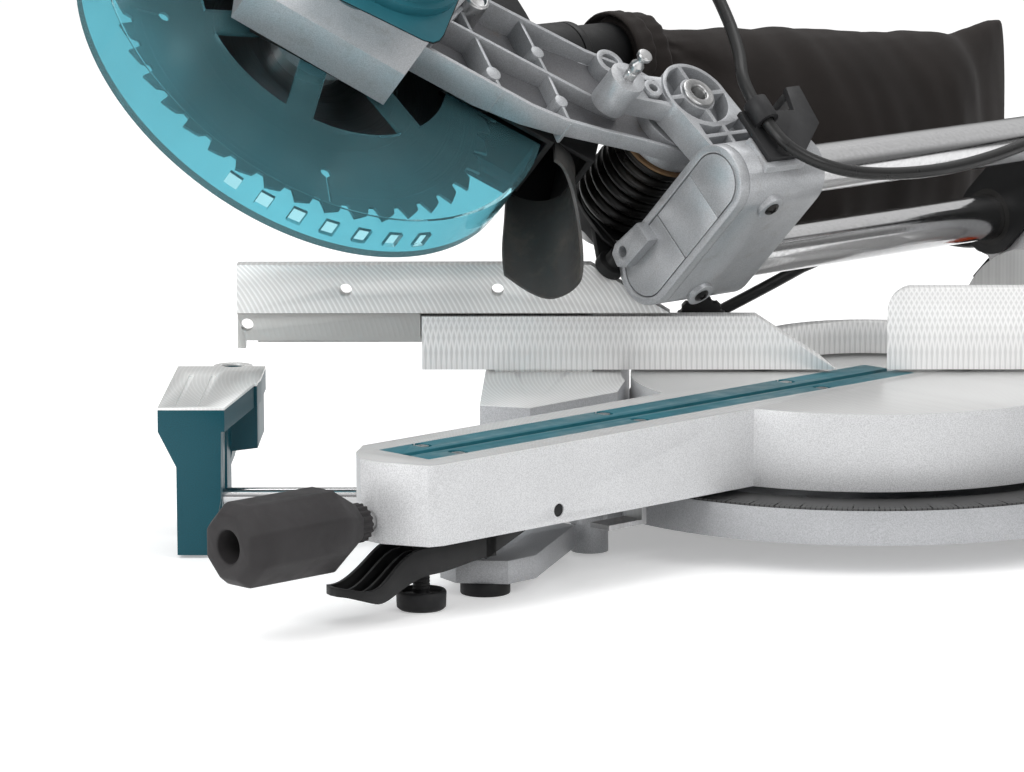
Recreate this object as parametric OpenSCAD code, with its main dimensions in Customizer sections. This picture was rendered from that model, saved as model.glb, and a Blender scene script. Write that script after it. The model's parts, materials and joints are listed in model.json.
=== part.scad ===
// Sliding compound mitre saw on a bench base, set to a left mitre and a left bevel,
// with the head raised and drawn forward. Millimetres, +Z up.
// Origin: on the turntable's pivot axis, at the bench.
// X runs along the fence, Y points away from the operator.

/* [Setting] */
// Mitre to the left of the straight cut, in degrees
mitre_set = 45; // [0:1:46]
// Bevel to the left of upright, in degrees
bevel_set = 45; // [20:1:45]
// Lift of the raised head above its lowest position, in degrees
head_lift = 44.5; // [40:0.5:50]

/* [Base] */
// Height of the table top above the bench
table_h = 94; // [90:1:110]
// Outer radius of the base ring under the mitre scale
ring_r = 185; // [180:1:192]
// Gap between the base ring's top and the turntable's skirt
ring_gap = 5; // [4:0.5:8]
// Thickness of the base floor and its webs
floor_t = 6; // [5:0.5:9]
// Wall of the hollow table wings
wing_wall = 7; // [5:0.5:10]
// Half width of the base over its wings
wing_x = 242; // [236:1:250]
// Height of the rubber feet
foot_h = 8; // [6:0.5:9]
// Radius of the rubber feet
foot_r = 15; // [12:0.5:18]
// Distance between the bench bolts along the fence
bolt_span_x = 350; // [340:1:360]
// Distance between the bench bolts from front to back
bolt_span_y = 220; // [216:1:226]
// Diameter of the bench bolt holes
bench_hole_d = 9; // [7:0.5:11]

/* [Turntable] */
// Radius of the machined turntable top
table_r = 150; // [146:1:151]
// Depth of the turntable's skirt and of its arm
skirt_h = 48; // [44:0.5:49]
// Width of the turntable's arm
arm_w = 78; // [74:1:84]
// Reach of the arm's nose from the pivot
arm_reach = 425; // [420:1:440]
// Wall of the turntable's skirt and of its arm
table_wall = 6; // [5:0.5:8]
// Thickness of the turntable's top plate
deck_t = 12; // [10:0.5:15]
// Radius of the pivot bolt
pivot_r = 10; // [8:0.5:12]
// Width over both kerf boards
kerf_w = 43; // [40:1:46]
// Thickness of the kerf boards
kerf_t = 3.5; // [3:0.1:5]
// Radius of the trunnion that carries the bevel arm
trunnion_r = 62; // [54:1:64]
// Distance from the pivot to the trunnion's rear face
trunnion_back = 210; // [205:1:215]

/* [Mitre lock] */
// Distance of the grip shaft below the table top
grip_drop = 35.5; // [33:0.5:38]
// Radius of the eight sided grip, over its corners
grip_r = 26; // [22:0.5:28]
// Length of the grip
grip_len = 94; // [85:1:105]
// Radius of the grip's shaft
grip_shaft_r = 5.5; // [4.5:0.5:7]
// Distance from the arm's nose back to the levelling foot
level_in = 40; // [36:1:44]
// Radius of the levelling foot
level_r = 16; // [13:0.5:17]

/* [Fence] */
// Height of the lower fence above the table
fence_h = 36; // [32:1:40]
// Thickness of the fences
fence_t = 16; // [13:0.5:18]
// Half length of the lower fence
fence_x = 282; // [270:1:295]
// Height of the right fence above the table
right_fence_h = 53.5; // [48:0.5:60]
// Top of the sliding upper fence above the table
upper_fence_top = 69; // [64:1:69]
// Length of the sliding upper fence along its bottom
upper_fence_len = 274; // [255:1:290]

/* [Extensions] */
// Distance from the pivot to the outer side of a drawn out work support
support_x = 439; // [435:1:450]
// Depth of a work support from front to back
support_depth = 152; // [148:1:160]
// Radius of the support rods
rod_r = 5; // [4:0.25:5.5]
// Height of the support rods above the bench
rod_z = 35; // [34.5:0.1:36]

/* [Slide] */
// Radius of the two slide rails
rail_r = 15; // [13:0.5:16]
// Height of the rails above the table, head upright
rail_h = 110; // [109:0.5:112]
// Place of the left rail across the saw, right of the blade is positive
rail_left_w = -12; // [-13:0.5:-10]
// Distance between the rails
rail_gap = 86; // [82:1:88]
// Wall of the castings round the rails
rail_boss_wall = 8; // [6:0.5:8.5]
// Place of the carriage's front face along the arm
carriage_front = 113; // [111:0.5:114]
// Length of the carriage casting
carriage_len = 67; // [60:1:68]
// Depth of the bevel arm's bearing housing
housing_len = 76; // [70:1:84]

/* [Head] */
// Place of the head hinge along the arm
hinge_u = 87; // [85:0.5:88]
// Height of the head hinge above the table
hinge_h = 173; // [172:0.5:176]
// Distance from hinge to blade along the arm, head lowered
blade_reach = 228; // [226:0.5:230]
// Drop from hinge to blade centre, head lowered
blade_drop = 55; // [53:0.5:56]
// Radius of the hinge pin
hinge_pin_r = 9; // [7:0.5:11]
// Outer radius of the head arm's hinge boss
hinge_boss_r = 26; // [23:0.5:27]
// Wire diameter of the return spring
spring_wire = 4.6; // [3.5:0.1:5]
// Number of turns of the return spring
spring_turns = 8; // [5:1:8]

/* [Blade] */
// Diameter of the saw blade
blade_d = 260; // [250:1:260]
// Thickness of the blade's plate
blade_t = 1.8; // [1.4:0.1:2.2]
// Number of teeth
teeth = 40; // [24:2:60]
// Radius of the blade's bore
bore_r = 15; // [12:0.5:15.5]
// Inner radius of the moving guard
guard_in_r = 150; // [148:0.5:151]
// Wall of the moving guard
guard_t = 3; // [2.5:0.1:3.5]
// Reach of the moving guard's inside to the right of the blade
guard_half = 25; // [23:0.5:25.5]
// Inner radius of the fixed blade case
case_in_r = 156; // [155.5:0.5:158]
// Wall of the fixed blade case
case_t = 3.5; // [3:0.1:4]

/* [Motor] */
// Radius of the motor housing
motor_r = 46; // [45:0.5:50]
// Wall of the motor housing
motor_wall = 4; // [3:0.25:5]
// Length of the motor housing
motor_len = 128; // [120:1:150]
// Length of the motor's end cap
cap_len = 24; // [18:1:30]
// Thickness of the gear housing
gearbox_t = 28; // [27:0.5:32]
// Gear module, which sets tooth size
gear_module = 2; // [1.8:0.05:2]
// Teeth on the spindle gear
gear_teeth = 42; // [40:1:42]
// Teeth on the motor pinion
pinion_teeth = 10; // [10:1:12]
// Radius of the spindle
spindle_r = 10; // [8:0.5:11]

/* [Handle] */
// Thickness of the handle
handle_t = 32; // [28:1:36]
// Travel of the trigger
trigger_travel = 5; // [3:0.5:6]

/* [Dust] */
// Outer radius of the dust nozzle
nozzle_r = 21; // [18:0.5:23]
// Length of the dust bag behind its neck
bag_len = 366; // [330:2:380]
// Height of the filled dust bag
bag_h = 129; // [110:1:130]
// Width of the filled dust bag
bag_w = 84; // [70:2:86]

/* [Mains lead] */
// Diameter of the mains lead
cord_d = 8; // [7:0.25:8.5]
// Number of loops in each layer of the stored coil
coil_loops = 3; // [2:1:3]
// Radius of the stored coil at the middle of its turns
coil_r = 44; // [40:1:48]

/* [Hidden] */
// Shared clearances
run = 0.05;
gap = 0.3;
cut = 1;
$fn = 64;

skirt_z = table_h - skirt_h;
ring_top = skirt_z - ring_gap;
floor_z = ring_top - 21;
leg_top = floor_z + 2;
scale_t = 1.4;
scale_in_r = table_r + 3;
hub_r = 38;
hub_top = skirt_z - gap;
wing_in_r = table_r + 6;
wing_front = -117;
wing_back = 40;
wing_nose = [31, -10];
level_u = arm_reach - level_in;
foot_behind = 159;
foot_front = [-236, foot_behind - level_u];
foot_back = [-218, 88];

arm_half = arm_w / 2;
kerf_half = kerf_w / 2;
kerf_front = arm_reach - 27;
kerf_back = -20;
slot_left = -2;
slot_right = 5.5;
slot_front = kerf_front - 26;
kerf_screw_u = [60, 220, kerf_front - 28];
kerf_screw_r = 4;
grip_z = table_h - grip_drop;
lever_u = arm_reach - 115;
lever_tip = arm_reach + 17;
lever_z = table_h - 40;
lever_pin_r = 4;
lever_half = 17;
level_stud_r = 5;
detent_u = [178, lever_u - 48];

upper_fence_x = -125;
upper_gap = 2;
lip_t = 7;
knob_x = -105;
knob_z = table_h + 28;
knob_r = 16;
knob_stud_r = 4;

rail_w = [rail_left_w, rail_left_w + rail_gap];
rail_boss_r = rail_r + rail_boss_wall;
carriage_cap_t = 8;
carriage_back = carriage_front - carriage_cap_t - carriage_len;
slide_travel = 240;
housing_front = carriage_back - slide_travel - 9;
housing_back = housing_front - housing_len;
bush_r = rail_r + 4;
rail_rear = housing_back - 15;
end_plate_t = 8;
tilt_bolt_r = 10;

ear_left = [-44, -30];
ear_right = [60, 80];
pin_arm = 55.6;
pin_angle = 16.3;
pin_r = 4;
spring_r = hinge_pin_r + 15;
spring_x = [ear_left[1] + gap, 33];
hub_tube_r = hinge_pin_r + 8;

blade_r = blade_d / 2;
guard_out_r = guard_in_r + guard_t;
guard_hole_r = 86;
guard_x = [-7, guard_half + guard_t];
case_half = guard_half + guard_t + 3;
case_left = guard_x[0] - 3;
case_out_r = case_in_r + case_t;
case_face = case_half + case_t;
arm_x = [case_face, case_face + 22.5];
boss_r = 29;
flange_r = 24;
flange_t = 7;

gear_dist = gear_module * (gear_teeth + pinion_teeth) / 2;
gear_lean = 18.2;
gearbox_x = [case_face, case_face + gearbox_t];
gearbox_wall = 4;
gear_x = [gearbox_x[0] + 8, gearbox_x[0] + 20];
motor_x = [gearbox_x[1], gearbox_x[1] + motor_len];
cap_x = [motor_x[1], motor_x[1] + cap_len];
shaft_r = 6;
bearing_t = 5;
motor_at = [gear_dist * sin(gear_lean), gear_dist * cos(gear_lean)];

chute_back = 38;
chute_half = 29;
chute_low = -45;
flap_r = 27;
flap_t = 2;
flap_low = -140;
nozzle_at = [66, 70];
nozzle_len = 70;
socket_t = 3.5;
bag_neck_r = nozzle_r + 5;
bag_drop = 53.5;
bag_tail_drop = 9;

cord_r = cord_d / 2;
cord_sides = 8;
coil_at = [-105, 268];
coil_pitch = cord_d + 0.8;
coil_low = cord_r + 0.2;
plug_half = [18, 21, 12];

// Routes of the lead, from hand picked points
head_route = [[165.5, 118, 330], [146, 118, 330], [120, 116, 338], [92, 113, 344], [68, 110, 338],
              [52, 107, 316], [46, 106, 286],
              [46, 106, 246], [54, 107, 208], [65, 108, 180], [75, 108, 162],
              [79, 108, 146], [79, 108, 134]];
loop_route = [[79, 108, 134], [79, 108, 120], [76, 109, 105], [64, 110, 91], [44, 110, 81],
              [18, 110, 75], [-14, 110, 72], [-48, 110, 72], [-82, 110, 75], [-116, 110, 80],
              [-148, 110, 86], [-180, 110, 92], [-207, 110, 95], [-225, 110, 95]];
rear_route = [[-225, 110, 95], [-242, 110, 95], [-265, 112, 91], [-284, 108, 78], [-296, 92, 64],
              [-301, 68, 56], [-303, 40, 53], [-303, 12, 53], [-302, -16, 56], [-298, -42, 66],
              [-290, -58, 84], [-282, -58, 102], [-271, -54, 114], [-260, -52, 118], [-250, -52, 118]];
lead_route = [[91.2, 261.2, 140.7], [77.6, 247.6, 140.7], [52, 236, 145], [22, 224, 146], [-8, 212, 141],
              [-36, 201, 131], [-57, 191, 121], [-74, 184, 113], [-92, 180, 104], [-110, 180, 92],
              [-128, 184, 75], [-143, 192, 55], [-155, 204, 34], [-161, 220, 17], [-163, 236, 7]];

// Frames: straight pieces are drawn along the straight cut and then swung to their setting

module mitred() rotate([0, 0, -mitre_set]) children();

module bevelled()
    mitred() translate([0, 0, table_h]) rotate([0, -bevel_set, 0]) children();

module at_hinge()
    bevelled() translate([0, -hinge_u, hinge_h]) rotate([-head_lift, 0, 0]) children();

module at_blade() at_hinge() translate([0, -blade_reach, -blade_drop]) children();

module at_motor() at_blade() translate([0, motor_at[0], motor_at[1]]) children();

module both_sides() {
    children();
    mirror([1, 0, 0]) children();
}

// Basic shapes along the axes

module x_rod(r, x) translate([x[0], 0, 0]) rotate([0, 90, 0]) cylinder(r = r, h = x[1] - x[0]);

module y_rod(r, y) translate([0, y[0], 0]) rotate([-90, 0, 0]) cylinder(r = r, h = y[1] - y[0]);

module x_ring(outer, inner, x)
    difference() {
        x_rod(outer, x);
        x_rod(inner, [x[0] - cut, x[1] + cut]);
    }

module block(low, high) translate(low) cube(high - low);

// A side view in y and z, given its thickness across the saw
module side(x) translate([x[0], 0, 0]) rotate([90, 0, 90]) linear_extrude(x[1] - x[0]) children();

// A cross section in x and z, given its depth along y
module section(y)
    translate([0, y[1], 0]) rotate([90, 0, 0]) linear_extrude(y[1] - y[0]) children();

// A stadium that wraps both rails, as a cross section
module rail_stadium(r) {
    for (w = rail_w) translate([w, rail_h]) circle(r);
    translate([rail_w[0], rail_h - r]) square([rail_gap, 2 * r]);
}

// Round tube through a list of points, with flat ends

function unit(v) = v / norm(v);

function tangent(p, i) =
    unit(p[min(i + 1, len(p) - 1)] - p[max(i - 1, 0)]);

function side_of(t, up) = unit(cross(t, up));

function tube_ring(at, t, r, n, up) =
    let (a = side_of(t, up), b = cross(t, a))
    [for (k = [0 : n - 1]) at + r * (cos(360 * k / n) * a + sin(360 * k / n) * b)];

module tube(p, r, n, up = [0.21, 0.13, 0.97]) {
    count = len(p);
    rings = [for (i = [0 : count - 1]) each tube_ring(p[i], tangent(p, i), r, n, up)];
    walls = [for (i = [0 : count - 2]) for (k = [0 : n - 1])
        let (a = i * n + k, b = i * n + (k + 1) % n) each [[a, b, a + n], [b, b + n, a + n]]];
    last = (count - 1) * n;
    ends = [for (k = [1 : n - 2]) each [[0, k + 1, k], [last, last + k, last + k + 1]]];
    polyhedron(rings, concat(walls, ends), convexity = 6);
}

// Least distance between stretches of a tube's middle line that lie most of a turn apart
function self_gap(p, apart, r) =
    min([for (i = [0 : len(p) - 1 - apart]) for (j = [i + apart : len(p) - 1]) norm(p[i] - p[j])]) - 2 * r;

// Rows of points that lie in the upright head's frame: along the arm, across, above the table
function from_arm(route) = [for (p = route) [p[1], -p[0], p[2]]];

// Base

wing_plan = [[wing_x, wing_back], [wing_x, wing_front], [wing_x - wing_nose[0], wing_front + wing_nose[1]],
             [wing_in_r + 2, -70], [wing_in_r - 10, wing_back]];
wing_core = [[wing_x - wing_wall, wing_back - wing_wall], [wing_x - wing_wall, wing_front + wing_wall],
             [wing_x - wing_nose[0], wing_front + wing_nose[1] + 1.4 * wing_wall],
             [wing_in_r + 2 + wing_wall, -70], [wing_in_r + 2 + wing_wall, wing_back - wing_wall]];
leg_front = [[wing_x - 8, wing_front + 12], [wing_x + 20, foot_front[1] + 26], [wing_x + 21, foot_front[1] + 5],
             [wing_x + 11, foot_front[1] - 11], [222, foot_front[1] - 14], [206, foot_front[1] + 3],
             [184, wing_front - 14], [wing_x - wing_nose[0] - 6, wing_front + 6]];
leg_back = [[wing_x - 2, wing_back - 12], [wing_x - 2, foot_back[1] + foot_r + 2],
            [-foot_back[0] - foot_r - 6, foot_back[1] + foot_r + 2], [ring_r - 8, wing_back - 12]];

module wing() {
    difference() {
        translate([0, 0, floor_z]) linear_extrude(table_h - floor_z) polygon(wing_plan);
        translate([0, 0, floor_z - cut]) linear_extrude(table_h - floor_z - wing_wall) polygon(wing_core);
        translate([0, 0, floor_z - cut]) cylinder(r = wing_in_r, h = table_h);
    }
    translate([0, 0, floor_z]) linear_extrude(floor_t) difference() {
        polygon([[wing_x - cut, wing_back - cut], [wing_x - cut, wing_front], [ring_r - 30, -90],
                 [ring_r - 30, wing_back - cut]]);
        circle(ring_r - 14);
    }
    translate([0, 0, floor_z]) linear_extrude(floor_t) for (s = [-1, 1])
        polygon([[ring_r - 45, s * 70], [bolt_span_x / 2 - 11, s * (bolt_span_y / 2 + 8)],
                 [bolt_span_x / 2 + 11, s * (bolt_span_y / 2 + 8)], [ring_r + 20, s * 60]]);
    translate([0, 0, foot_h]) linear_extrude(leg_top - foot_h) {
        polygon(leg_front);
        polygon(leg_back);
    }
    for (y = [-1, 1]) translate([bolt_span_x / 2, y * bolt_span_y / 2, 2])
        cylinder(r = bench_hole_d / 2 + 7, h = floor_z + floor_t - 2);
}

module rod_bores(r)
    for (at = rod_at) translate([0, at[0], at[1]]) x_rod(r, [hub_r + 2, wing_x + cut]);

rod_at = [[-105, rod_z], [-62, rod_z - 8]];

module base_casting() color("silver") difference() {
    union() {
        both_sides() wing();
        translate([0, 0, floor_z]) cylinder(r = ring_r, h = ring_top - floor_z);
        translate([0, 0, floor_z - 4]) cylinder(r = hub_r, h = hub_top - floor_z + 4);
    }
    difference() {
        translate([0, 0, floor_z + floor_t]) cylinder(r = ring_r - 13, h = ring_top);
        cylinder(r = hub_r, h = hub_top);
    }
    translate([0, 0, -cut]) cylinder(r = pivot_r + run, h = table_h);
    both_sides() {
        rod_bores(rod_r + gap);
        for (y = [-1, 1]) translate([bolt_span_x / 2, y * bolt_span_y / 2, 0])
            cylinder(d = bench_hole_d, h = table_h / 2);
        translate([fence_bolt_x[0], fence_bolt_y, table_h / 2]) cylinder(r = fence_bolt_r + run, h = table_h);
        translate([fence_bolt_x[1], fence_bolt_y, table_h / 2]) cylinder(r = fence_bolt_r + run, h = table_h);
    }
}

module mitre_scale() color("dimgray") difference() {
    translate([0, 0, ring_top]) cylinder(r = ring_r - 1, h = scale_t);
    translate([0, 0, ring_top - cut]) cylinder(r = scale_in_r, h = scale_t + 2 * cut);
    translate([-ring_r, -0.45 * ring_r, ring_top - cut]) cube([2 * ring_r, 2 * ring_r, scale_t + 2 * cut]);
    for (a = [-50 : 5 : 50]) rotate([0, 0, a])
        translate([-0.4, -ring_r, ring_top + scale_t / 2]) cube([0.8, 8, scale_t]);
}

module base_feet() color("black") both_sides() for (at = [foot_front, foot_back])
    translate([at[0], at[1], 0]) cylinder(r = foot_r, h = foot_h);

module pivot_bolt() color("slategray") {
    translate([0, 0, floor_z - 12]) cylinder(r = pivot_r, h = skirt_z + 24 - floor_z + 12);
    translate([0, 0, floor_z - 12]) difference() {
        cylinder(r = pivot_r + 6, h = 8 - gap, $fn = 6);
        translate([0, 0, -cut]) cylinder(r = pivot_r - 1, h = 4);
    }
}

// Fence

fence_end_left = [21, 50];
fence_end_right = 12;
fence_low = 2;
fence_foot_h = 11;
bow_r = [63, 75];
bow_h = 20;
fence_bolt_x = [186, 224];
fence_bolt_y = 29;
fence_bolt_r = 3;

module fence_plate(h, plan)
    translate([0, 0, table_h + fence_low]) linear_extrude(h - fence_low) polygon(plan);

module fence() color("gainsboro") difference() {
    union() {
        fence_plate(fence_h, [[-fence_x, 0], [-fence_end_left[0], 0],
                              [-fence_end_left[0] - 0.6 * fence_t, fence_t], [-fence_x, fence_t]]);
        fence_plate(right_fence_h, [[fence_end_right, 0], [fence_x, 0], [fence_x, fence_t],
                                    [fence_end_right + 0.9 * fence_t, fence_t]]);
        both_sides() translate([0, 0, table_h]) block([174, 3, 0], [236, wing_back - 2, fence_foot_h]);
        translate([0, 0, table_h + fence_low]) intersection() {
            difference() {
                cylinder(r = bow_r[1], h = bow_h);
                translate([0, 0, -cut]) cylinder(r = bow_r[0], h = bow_h + 2 * cut);
            }
            block([-bow_r[1], 8, 0], [bow_r[1], bow_r[1], bow_h]);
        }
    }
    translate([0, -cut, table_h]) rotate([-90, 0, 0]) linear_extrude(fence_t + 2 * cut)
        polygon([[-fence_end_left[0], -3], [-fence_end_left[0] - fence_end_left[1], -fence_h],
                 [-fence_end_left[0], -fence_h - cut], [0, -fence_h], [0, -3]]);
    translate([fence_end_right, -cut, table_h + right_fence_h]) difference() {
        block([-cut, 0, -14], [14, fence_t + 2 * cut, cut]);
        translate([14, 0, -14]) y_rod(14, [-cut, fence_t + 3 * cut]);
    }
    both_sides() for (x = fence_bolt_x) translate([x, fence_bolt_y, table_h - cut])
        cylinder(r = fence_bolt_r + run, h = fence_foot_h + 2 * cut);
}

module fence_bolts() color("dimgray") both_sides() for (x = fence_bolt_x)
    translate([x, fence_bolt_y, 0]) {
        translate([0, 0, table_h - 6]) cylinder(r = fence_bolt_r, h = fence_foot_h + 6);
        translate([0, 0, table_h + fence_foot_h]) difference() {
            cylinder(r = 2 * fence_bolt_r, h = 5);
            translate([0, 0, 2]) cylinder(r = fence_bolt_r, h = 5, $fn = 6);
        }
    }

upper_low = fence_h + upper_gap;
upper_left = upper_fence_x - upper_fence_len;
upper_slant = 50;
tongue_z = 20;
tongue_in = 5;
upper_holes = [[upper_left + 69, upper_low + 15], [upper_left + 165, upper_low + 15],
               [upper_left + 6, tongue_z + 10]];

module upper_fence() color("gainsboro") difference() {
    union() {
        translate([0, fence_t, table_h]) rotate([90, 0, 0]) linear_extrude(fence_t)
            polygon([[upper_left, upper_low], [upper_fence_x, upper_low],
                     [upper_fence_x - upper_slant, upper_fence_top], [upper_left, upper_fence_top]]);
        translate([0, 0, table_h])
            block([upper_left, tongue_in, tongue_z], [-fence_x - 1, fence_t, upper_low + cut]);
        translate([0, fence_t, table_h]) {
            block([upper_left + 12, gap, tongue_z - 3], [knob_x + 16, gap + lip_t, fence_h - 2]);
            block([upper_left + 12, -cut, upper_low], [upper_fence_x - upper_slant, gap + lip_t, upper_low + 10]);
            block([upper_left + 12, gap, fence_h - 3], [upper_fence_x - upper_slant, gap + lip_t, upper_low + 1]);
        }
        block([upper_left, tongue_in, table_h + tongue_z - 5], [upper_left + 5, fence_t - 2, table_h + tongue_z + cut]);
    }
    translate([knob_x, 0, knob_z]) y_rod(knob_stud_r + run, [fence_t - cut, fence_t + 4 * lip_t]);
    for (at = upper_holes) translate([at[0], 0, table_h + at[1]]) y_rod(4, [-cut, fence_t + 2 * lip_t]);
}

module fence_knob() color("black") translate([knob_x, 0, knob_z]) {
    y_rod(knob_stud_r, [fence_t + 2 * gap, fence_t + lip_t + 8]);
    translate([0, fence_t + lip_t + 2 * gap, 0]) difference() {
        y_rod(knob_r, [0, 14]);
        y_rod(knob_stud_r + 5, [10, 15]);
        for (a = [0 : 30 : 330]) rotate([0, a, 0]) translate([knob_r + 1, 0, 0]) y_rod(2.4, [-cut, 15]);
    }
}

// Work supports that draw out to each side

support_front = -support_depth + 26;
support_in = [41, 56];
column_w = 26;
vise_r = 7.5;
vise_at = [35, 30];
vise_h = 24;
rod_in = 200;

support_low = 2;
front_side = [[0, 0], [0, -15], [11, -37], [11, support_low - table_h], [31, support_low - table_h],
              [38, -58], [39, 0]];
rear_side = [[0, 0], [0, -15], [11, -37], [11, -61], [28, -61], [36, -57], [39, -43], [55, -41], [55, 0]];

module support_side(points, y) translate([-support_x, 0, table_h]) section(y) polygon(points);

module support() difference() {
    union() {
        translate([0, 0, table_h - 15]) linear_extrude(15) polygon([
            [-support_x, support_front], [-support_x + support_in[0], support_front],
            [-support_x + support_in[1], support_front + 105], [-support_x + support_in[1], 26],
            [-support_x, 26]]);
        support_side(front_side, [support_front, support_front + 32]);
        support_side(rear_side, [-40, vise_at[1] - vise_r - cut]);
        translate([0, rod_at[1][0], rod_at[1][1]])
            x_rod(rod_r + 7, [-support_x + 12, -support_x + 12 + column_w]);
        block([-support_x + 14, rod_at[1][0] - 8, rod_at[1][1]],
              [-support_x + 12 + column_w, rod_at[1][0] + 26, table_h - 10]);
        translate([0, rod_at[0][0], rod_at[0][1]])
            x_rod(rod_r + 7, [-support_x + 12, -support_x + 12 + column_w]);
        translate([-support_x + vise_at[0], vise_at[1], table_h - vise_h])
            cylinder(r = vise_r + 5, h = vise_h - gap);
    }
    for (at = rod_at) translate([0, at[0], at[1]])
        x_rod(rod_r + run, [-support_x + 15, -support_x + 13 + column_w]);
    translate([-support_x + vise_at[0], vise_at[1], table_h - vise_h - cut])
        cylinder(r = vise_r, h = vise_h + 2 * cut);
    for (x = [10, 24]) translate([-support_x + x, support_front + 6, table_h - 1])
        cube([3, support_depth - 40, 2]);
}

module rods() for (at = rod_at) translate([0, at[0], at[1]]) x_rod(rod_r, [-support_x + 15, -rod_in]);

module support_left() color("teal") support();

module rods_left() color("lightgray") rods();

module support_right() color("teal") mirror([1, 0, 0]) support();

module rods_right() color("lightgray") mirror([1, 0, 0]) rods();

// Turntable

arm_plan = [[-arm_half, 0], [-arm_half, -arm_reach + 30], [-arm_half + 13, -arm_reach + 13],
            [-8, -arm_reach], [8, -arm_reach], [arm_half - 3, -arm_reach + 13], [arm_half, -arm_reach + 22],
            [arm_half, 0]];
arm_core = [[-arm_half + table_wall, 0], [-arm_half + table_wall, -arm_reach + 26],
            [arm_half - table_wall, -arm_reach + 26], [arm_half - table_wall, 0]];
nose_wall_u = arm_reach - 26;
kerf_floor = table_h - kerf_t;

module kerf_slot() {
    block([-kerf_half - gap, -kerf_front - gap, kerf_floor], [kerf_half + gap, -kerf_back + gap, table_h + cut]);
    block([slot_left - 7, -slot_front, skirt_z], [slot_right + 10, -hub_r, table_h + cut]);
    block([slot_left - 7, -hub_r - cut, table_h - 16], [slot_right + 10, -kerf_back - 5, table_h + cut]);
    for (u = kerf_screw_u) for (w = kerf_screw_w) translate([w, -u, skirt_z])
        cylinder(r = kerf_screw_r / 2 + run, h = skirt_h);
}

kerf_screw_w = [(slot_left - kerf_half) / 2 - 3, (slot_right + kerf_half) / 2 + 3];

module turntable() color("silver") mitred() difference() {
    union() {
        translate([0, 0, skirt_z]) difference() {
            union() {
                cylinder(r = table_r, h = skirt_h);
                linear_extrude(skirt_h) polygon(arm_plan);
            }
            translate([0, 0, -cut]) {
                cylinder(r = table_r - table_wall, h = skirt_h - deck_t + cut);
                linear_extrude(skirt_h - deck_t + cut) polygon(arm_core);
            }
        }
        translate([0, 0, skirt_z]) cylinder(r = hub_r - 8, h = skirt_h - 1);
        translate([0, -level_u, table_h - 34]) cylinder(r = level_stud_r + 6, h = 30);
        block([-arm_half + 1, -detent_u[1], skirt_z], [arm_half - 1, -detent_u[1] + 10, table_h - 6]);
        translate([0, 0, table_h]) difference() {
            y_rod(trunnion_r, [table_r - 12, trunnion_back]);
            block([-trunnion_r - cut, 0, -1], [trunnion_r + cut, table_r + 4, trunnion_r + cut]);
            block([-trunnion_r, 0, -2 * trunnion_r], [trunnion_r, trunnion_back + cut, -skirt_h]);
        }
    }
    kerf_slot();
    translate([0, 0, -cut]) cylinder(r = pivot_r + run, h = skirt_z + 26 + cut);
    translate([0, 0, grip_z]) y_rod(grip_shaft_r + run, [-arm_reach - cut, -nose_wall_u + cut]);
    translate([0, -lever_u, lever_z]) x_rod(lever_pin_r + run, [-arm_half - cut, arm_half + cut]);
    translate([0, -level_u, 0]) cylinder(r = level_stud_r + run, h = table_h - 10);
    translate([0, 0, table_h]) y_rod(tilt_bolt_r + run, [trunnion_back - 40, trunnion_back + cut]);
}

// An eye that holds the lead, on a short stem across the saw
housing_clip = [-225, 110, 95];
lead_clip = [-250, -52, 118];
eye_r = cord_r + 4;
eye_t = 16;
bracket_eye = [79, 108, 134];

module clip_boss(at, root) translate([0, -at[0], at[2]]) {
    translate([at[1], 0, 0]) y_rod(eye_r, [-eye_t / 2, eye_t / 2]);
    block([min(root, at[1]), -eye_t / 2, -4], [max(root, at[1]), eye_t / 2, 4]);
}

module clip_bore(at) translate([at[1], -at[0], at[2]]) y_rod(cord_r + gap, [-eye_t, eye_t]);

module kerf_boards() color("teal") mitred() difference() {
    for (w = [[-kerf_half, slot_left], [slot_right, kerf_half]])
        block([w[0], -kerf_front, kerf_floor], [w[1], -kerf_back, table_h]);
    for (u = kerf_screw_u) for (w = kerf_screw_w) for (s = [-2, 0, 2])
        translate([w + s, -u, kerf_floor - cut]) cylinder(r = kerf_screw_r / 2 + run, h = kerf_t + 2 * cut);
    for (u = kerf_screw_u) for (w = kerf_screw_w)
        translate([w - 2.5, -u - kerf_screw_r - gap, table_h - kerf_t / 2])
            cube([5, 2 * (kerf_screw_r + gap), kerf_t]);
    for (u = kerf_screw_u) for (w = kerf_screw_w) for (s = [-2.5, 2.5])
        translate([w + s, -u, table_h - kerf_t / 2]) cylinder(r = kerf_screw_r + gap, h = kerf_t);
}

module kerf_screws() color("dimgray") mitred() for (u = kerf_screw_u) for (w = kerf_screw_w)
    translate([w, -u, 0]) {
        translate([0, 0, kerf_floor - 7]) cylinder(r = kerf_screw_r / 2, h = 8);
        translate([0, 0, table_h - kerf_t / 2]) difference() {
            cylinder(r = kerf_screw_r, h = kerf_t / 2 - 0.4);
            translate([-kerf_screw_r, -0.5, kerf_t / 2 - 1]) cube([2 * kerf_screw_r, 1, 2]);
        }
    }

module mitre_pointer() color("dimgray") mitred()
    side([-arm_half - 7, -arm_half]) polygon([[-176, ring_top + scale_t + gap], [-158, skirt_z],
        [-158, skirt_z + 6], [-168, skirt_z + 6]]);

module detent_spring() color("saddlebrown") mitred() {
    block([-8, -detent_u[1], skirt_z - 2.5], [8, -detent_u[0], skirt_z]);
    block([-22, -detent_u[1], skirt_z - 2.5], [26, -detent_u[1] + 10, skirt_z]);
    block([-8, -detent_u[0] - 32, floor_z + 7], [8, -detent_u[0] - 28, skirt_z - 2.5]);
    block([-8, -detent_u[0] - 60, floor_z + 7], [8, -detent_u[0] - 32, floor_z + 10]);
}

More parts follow.
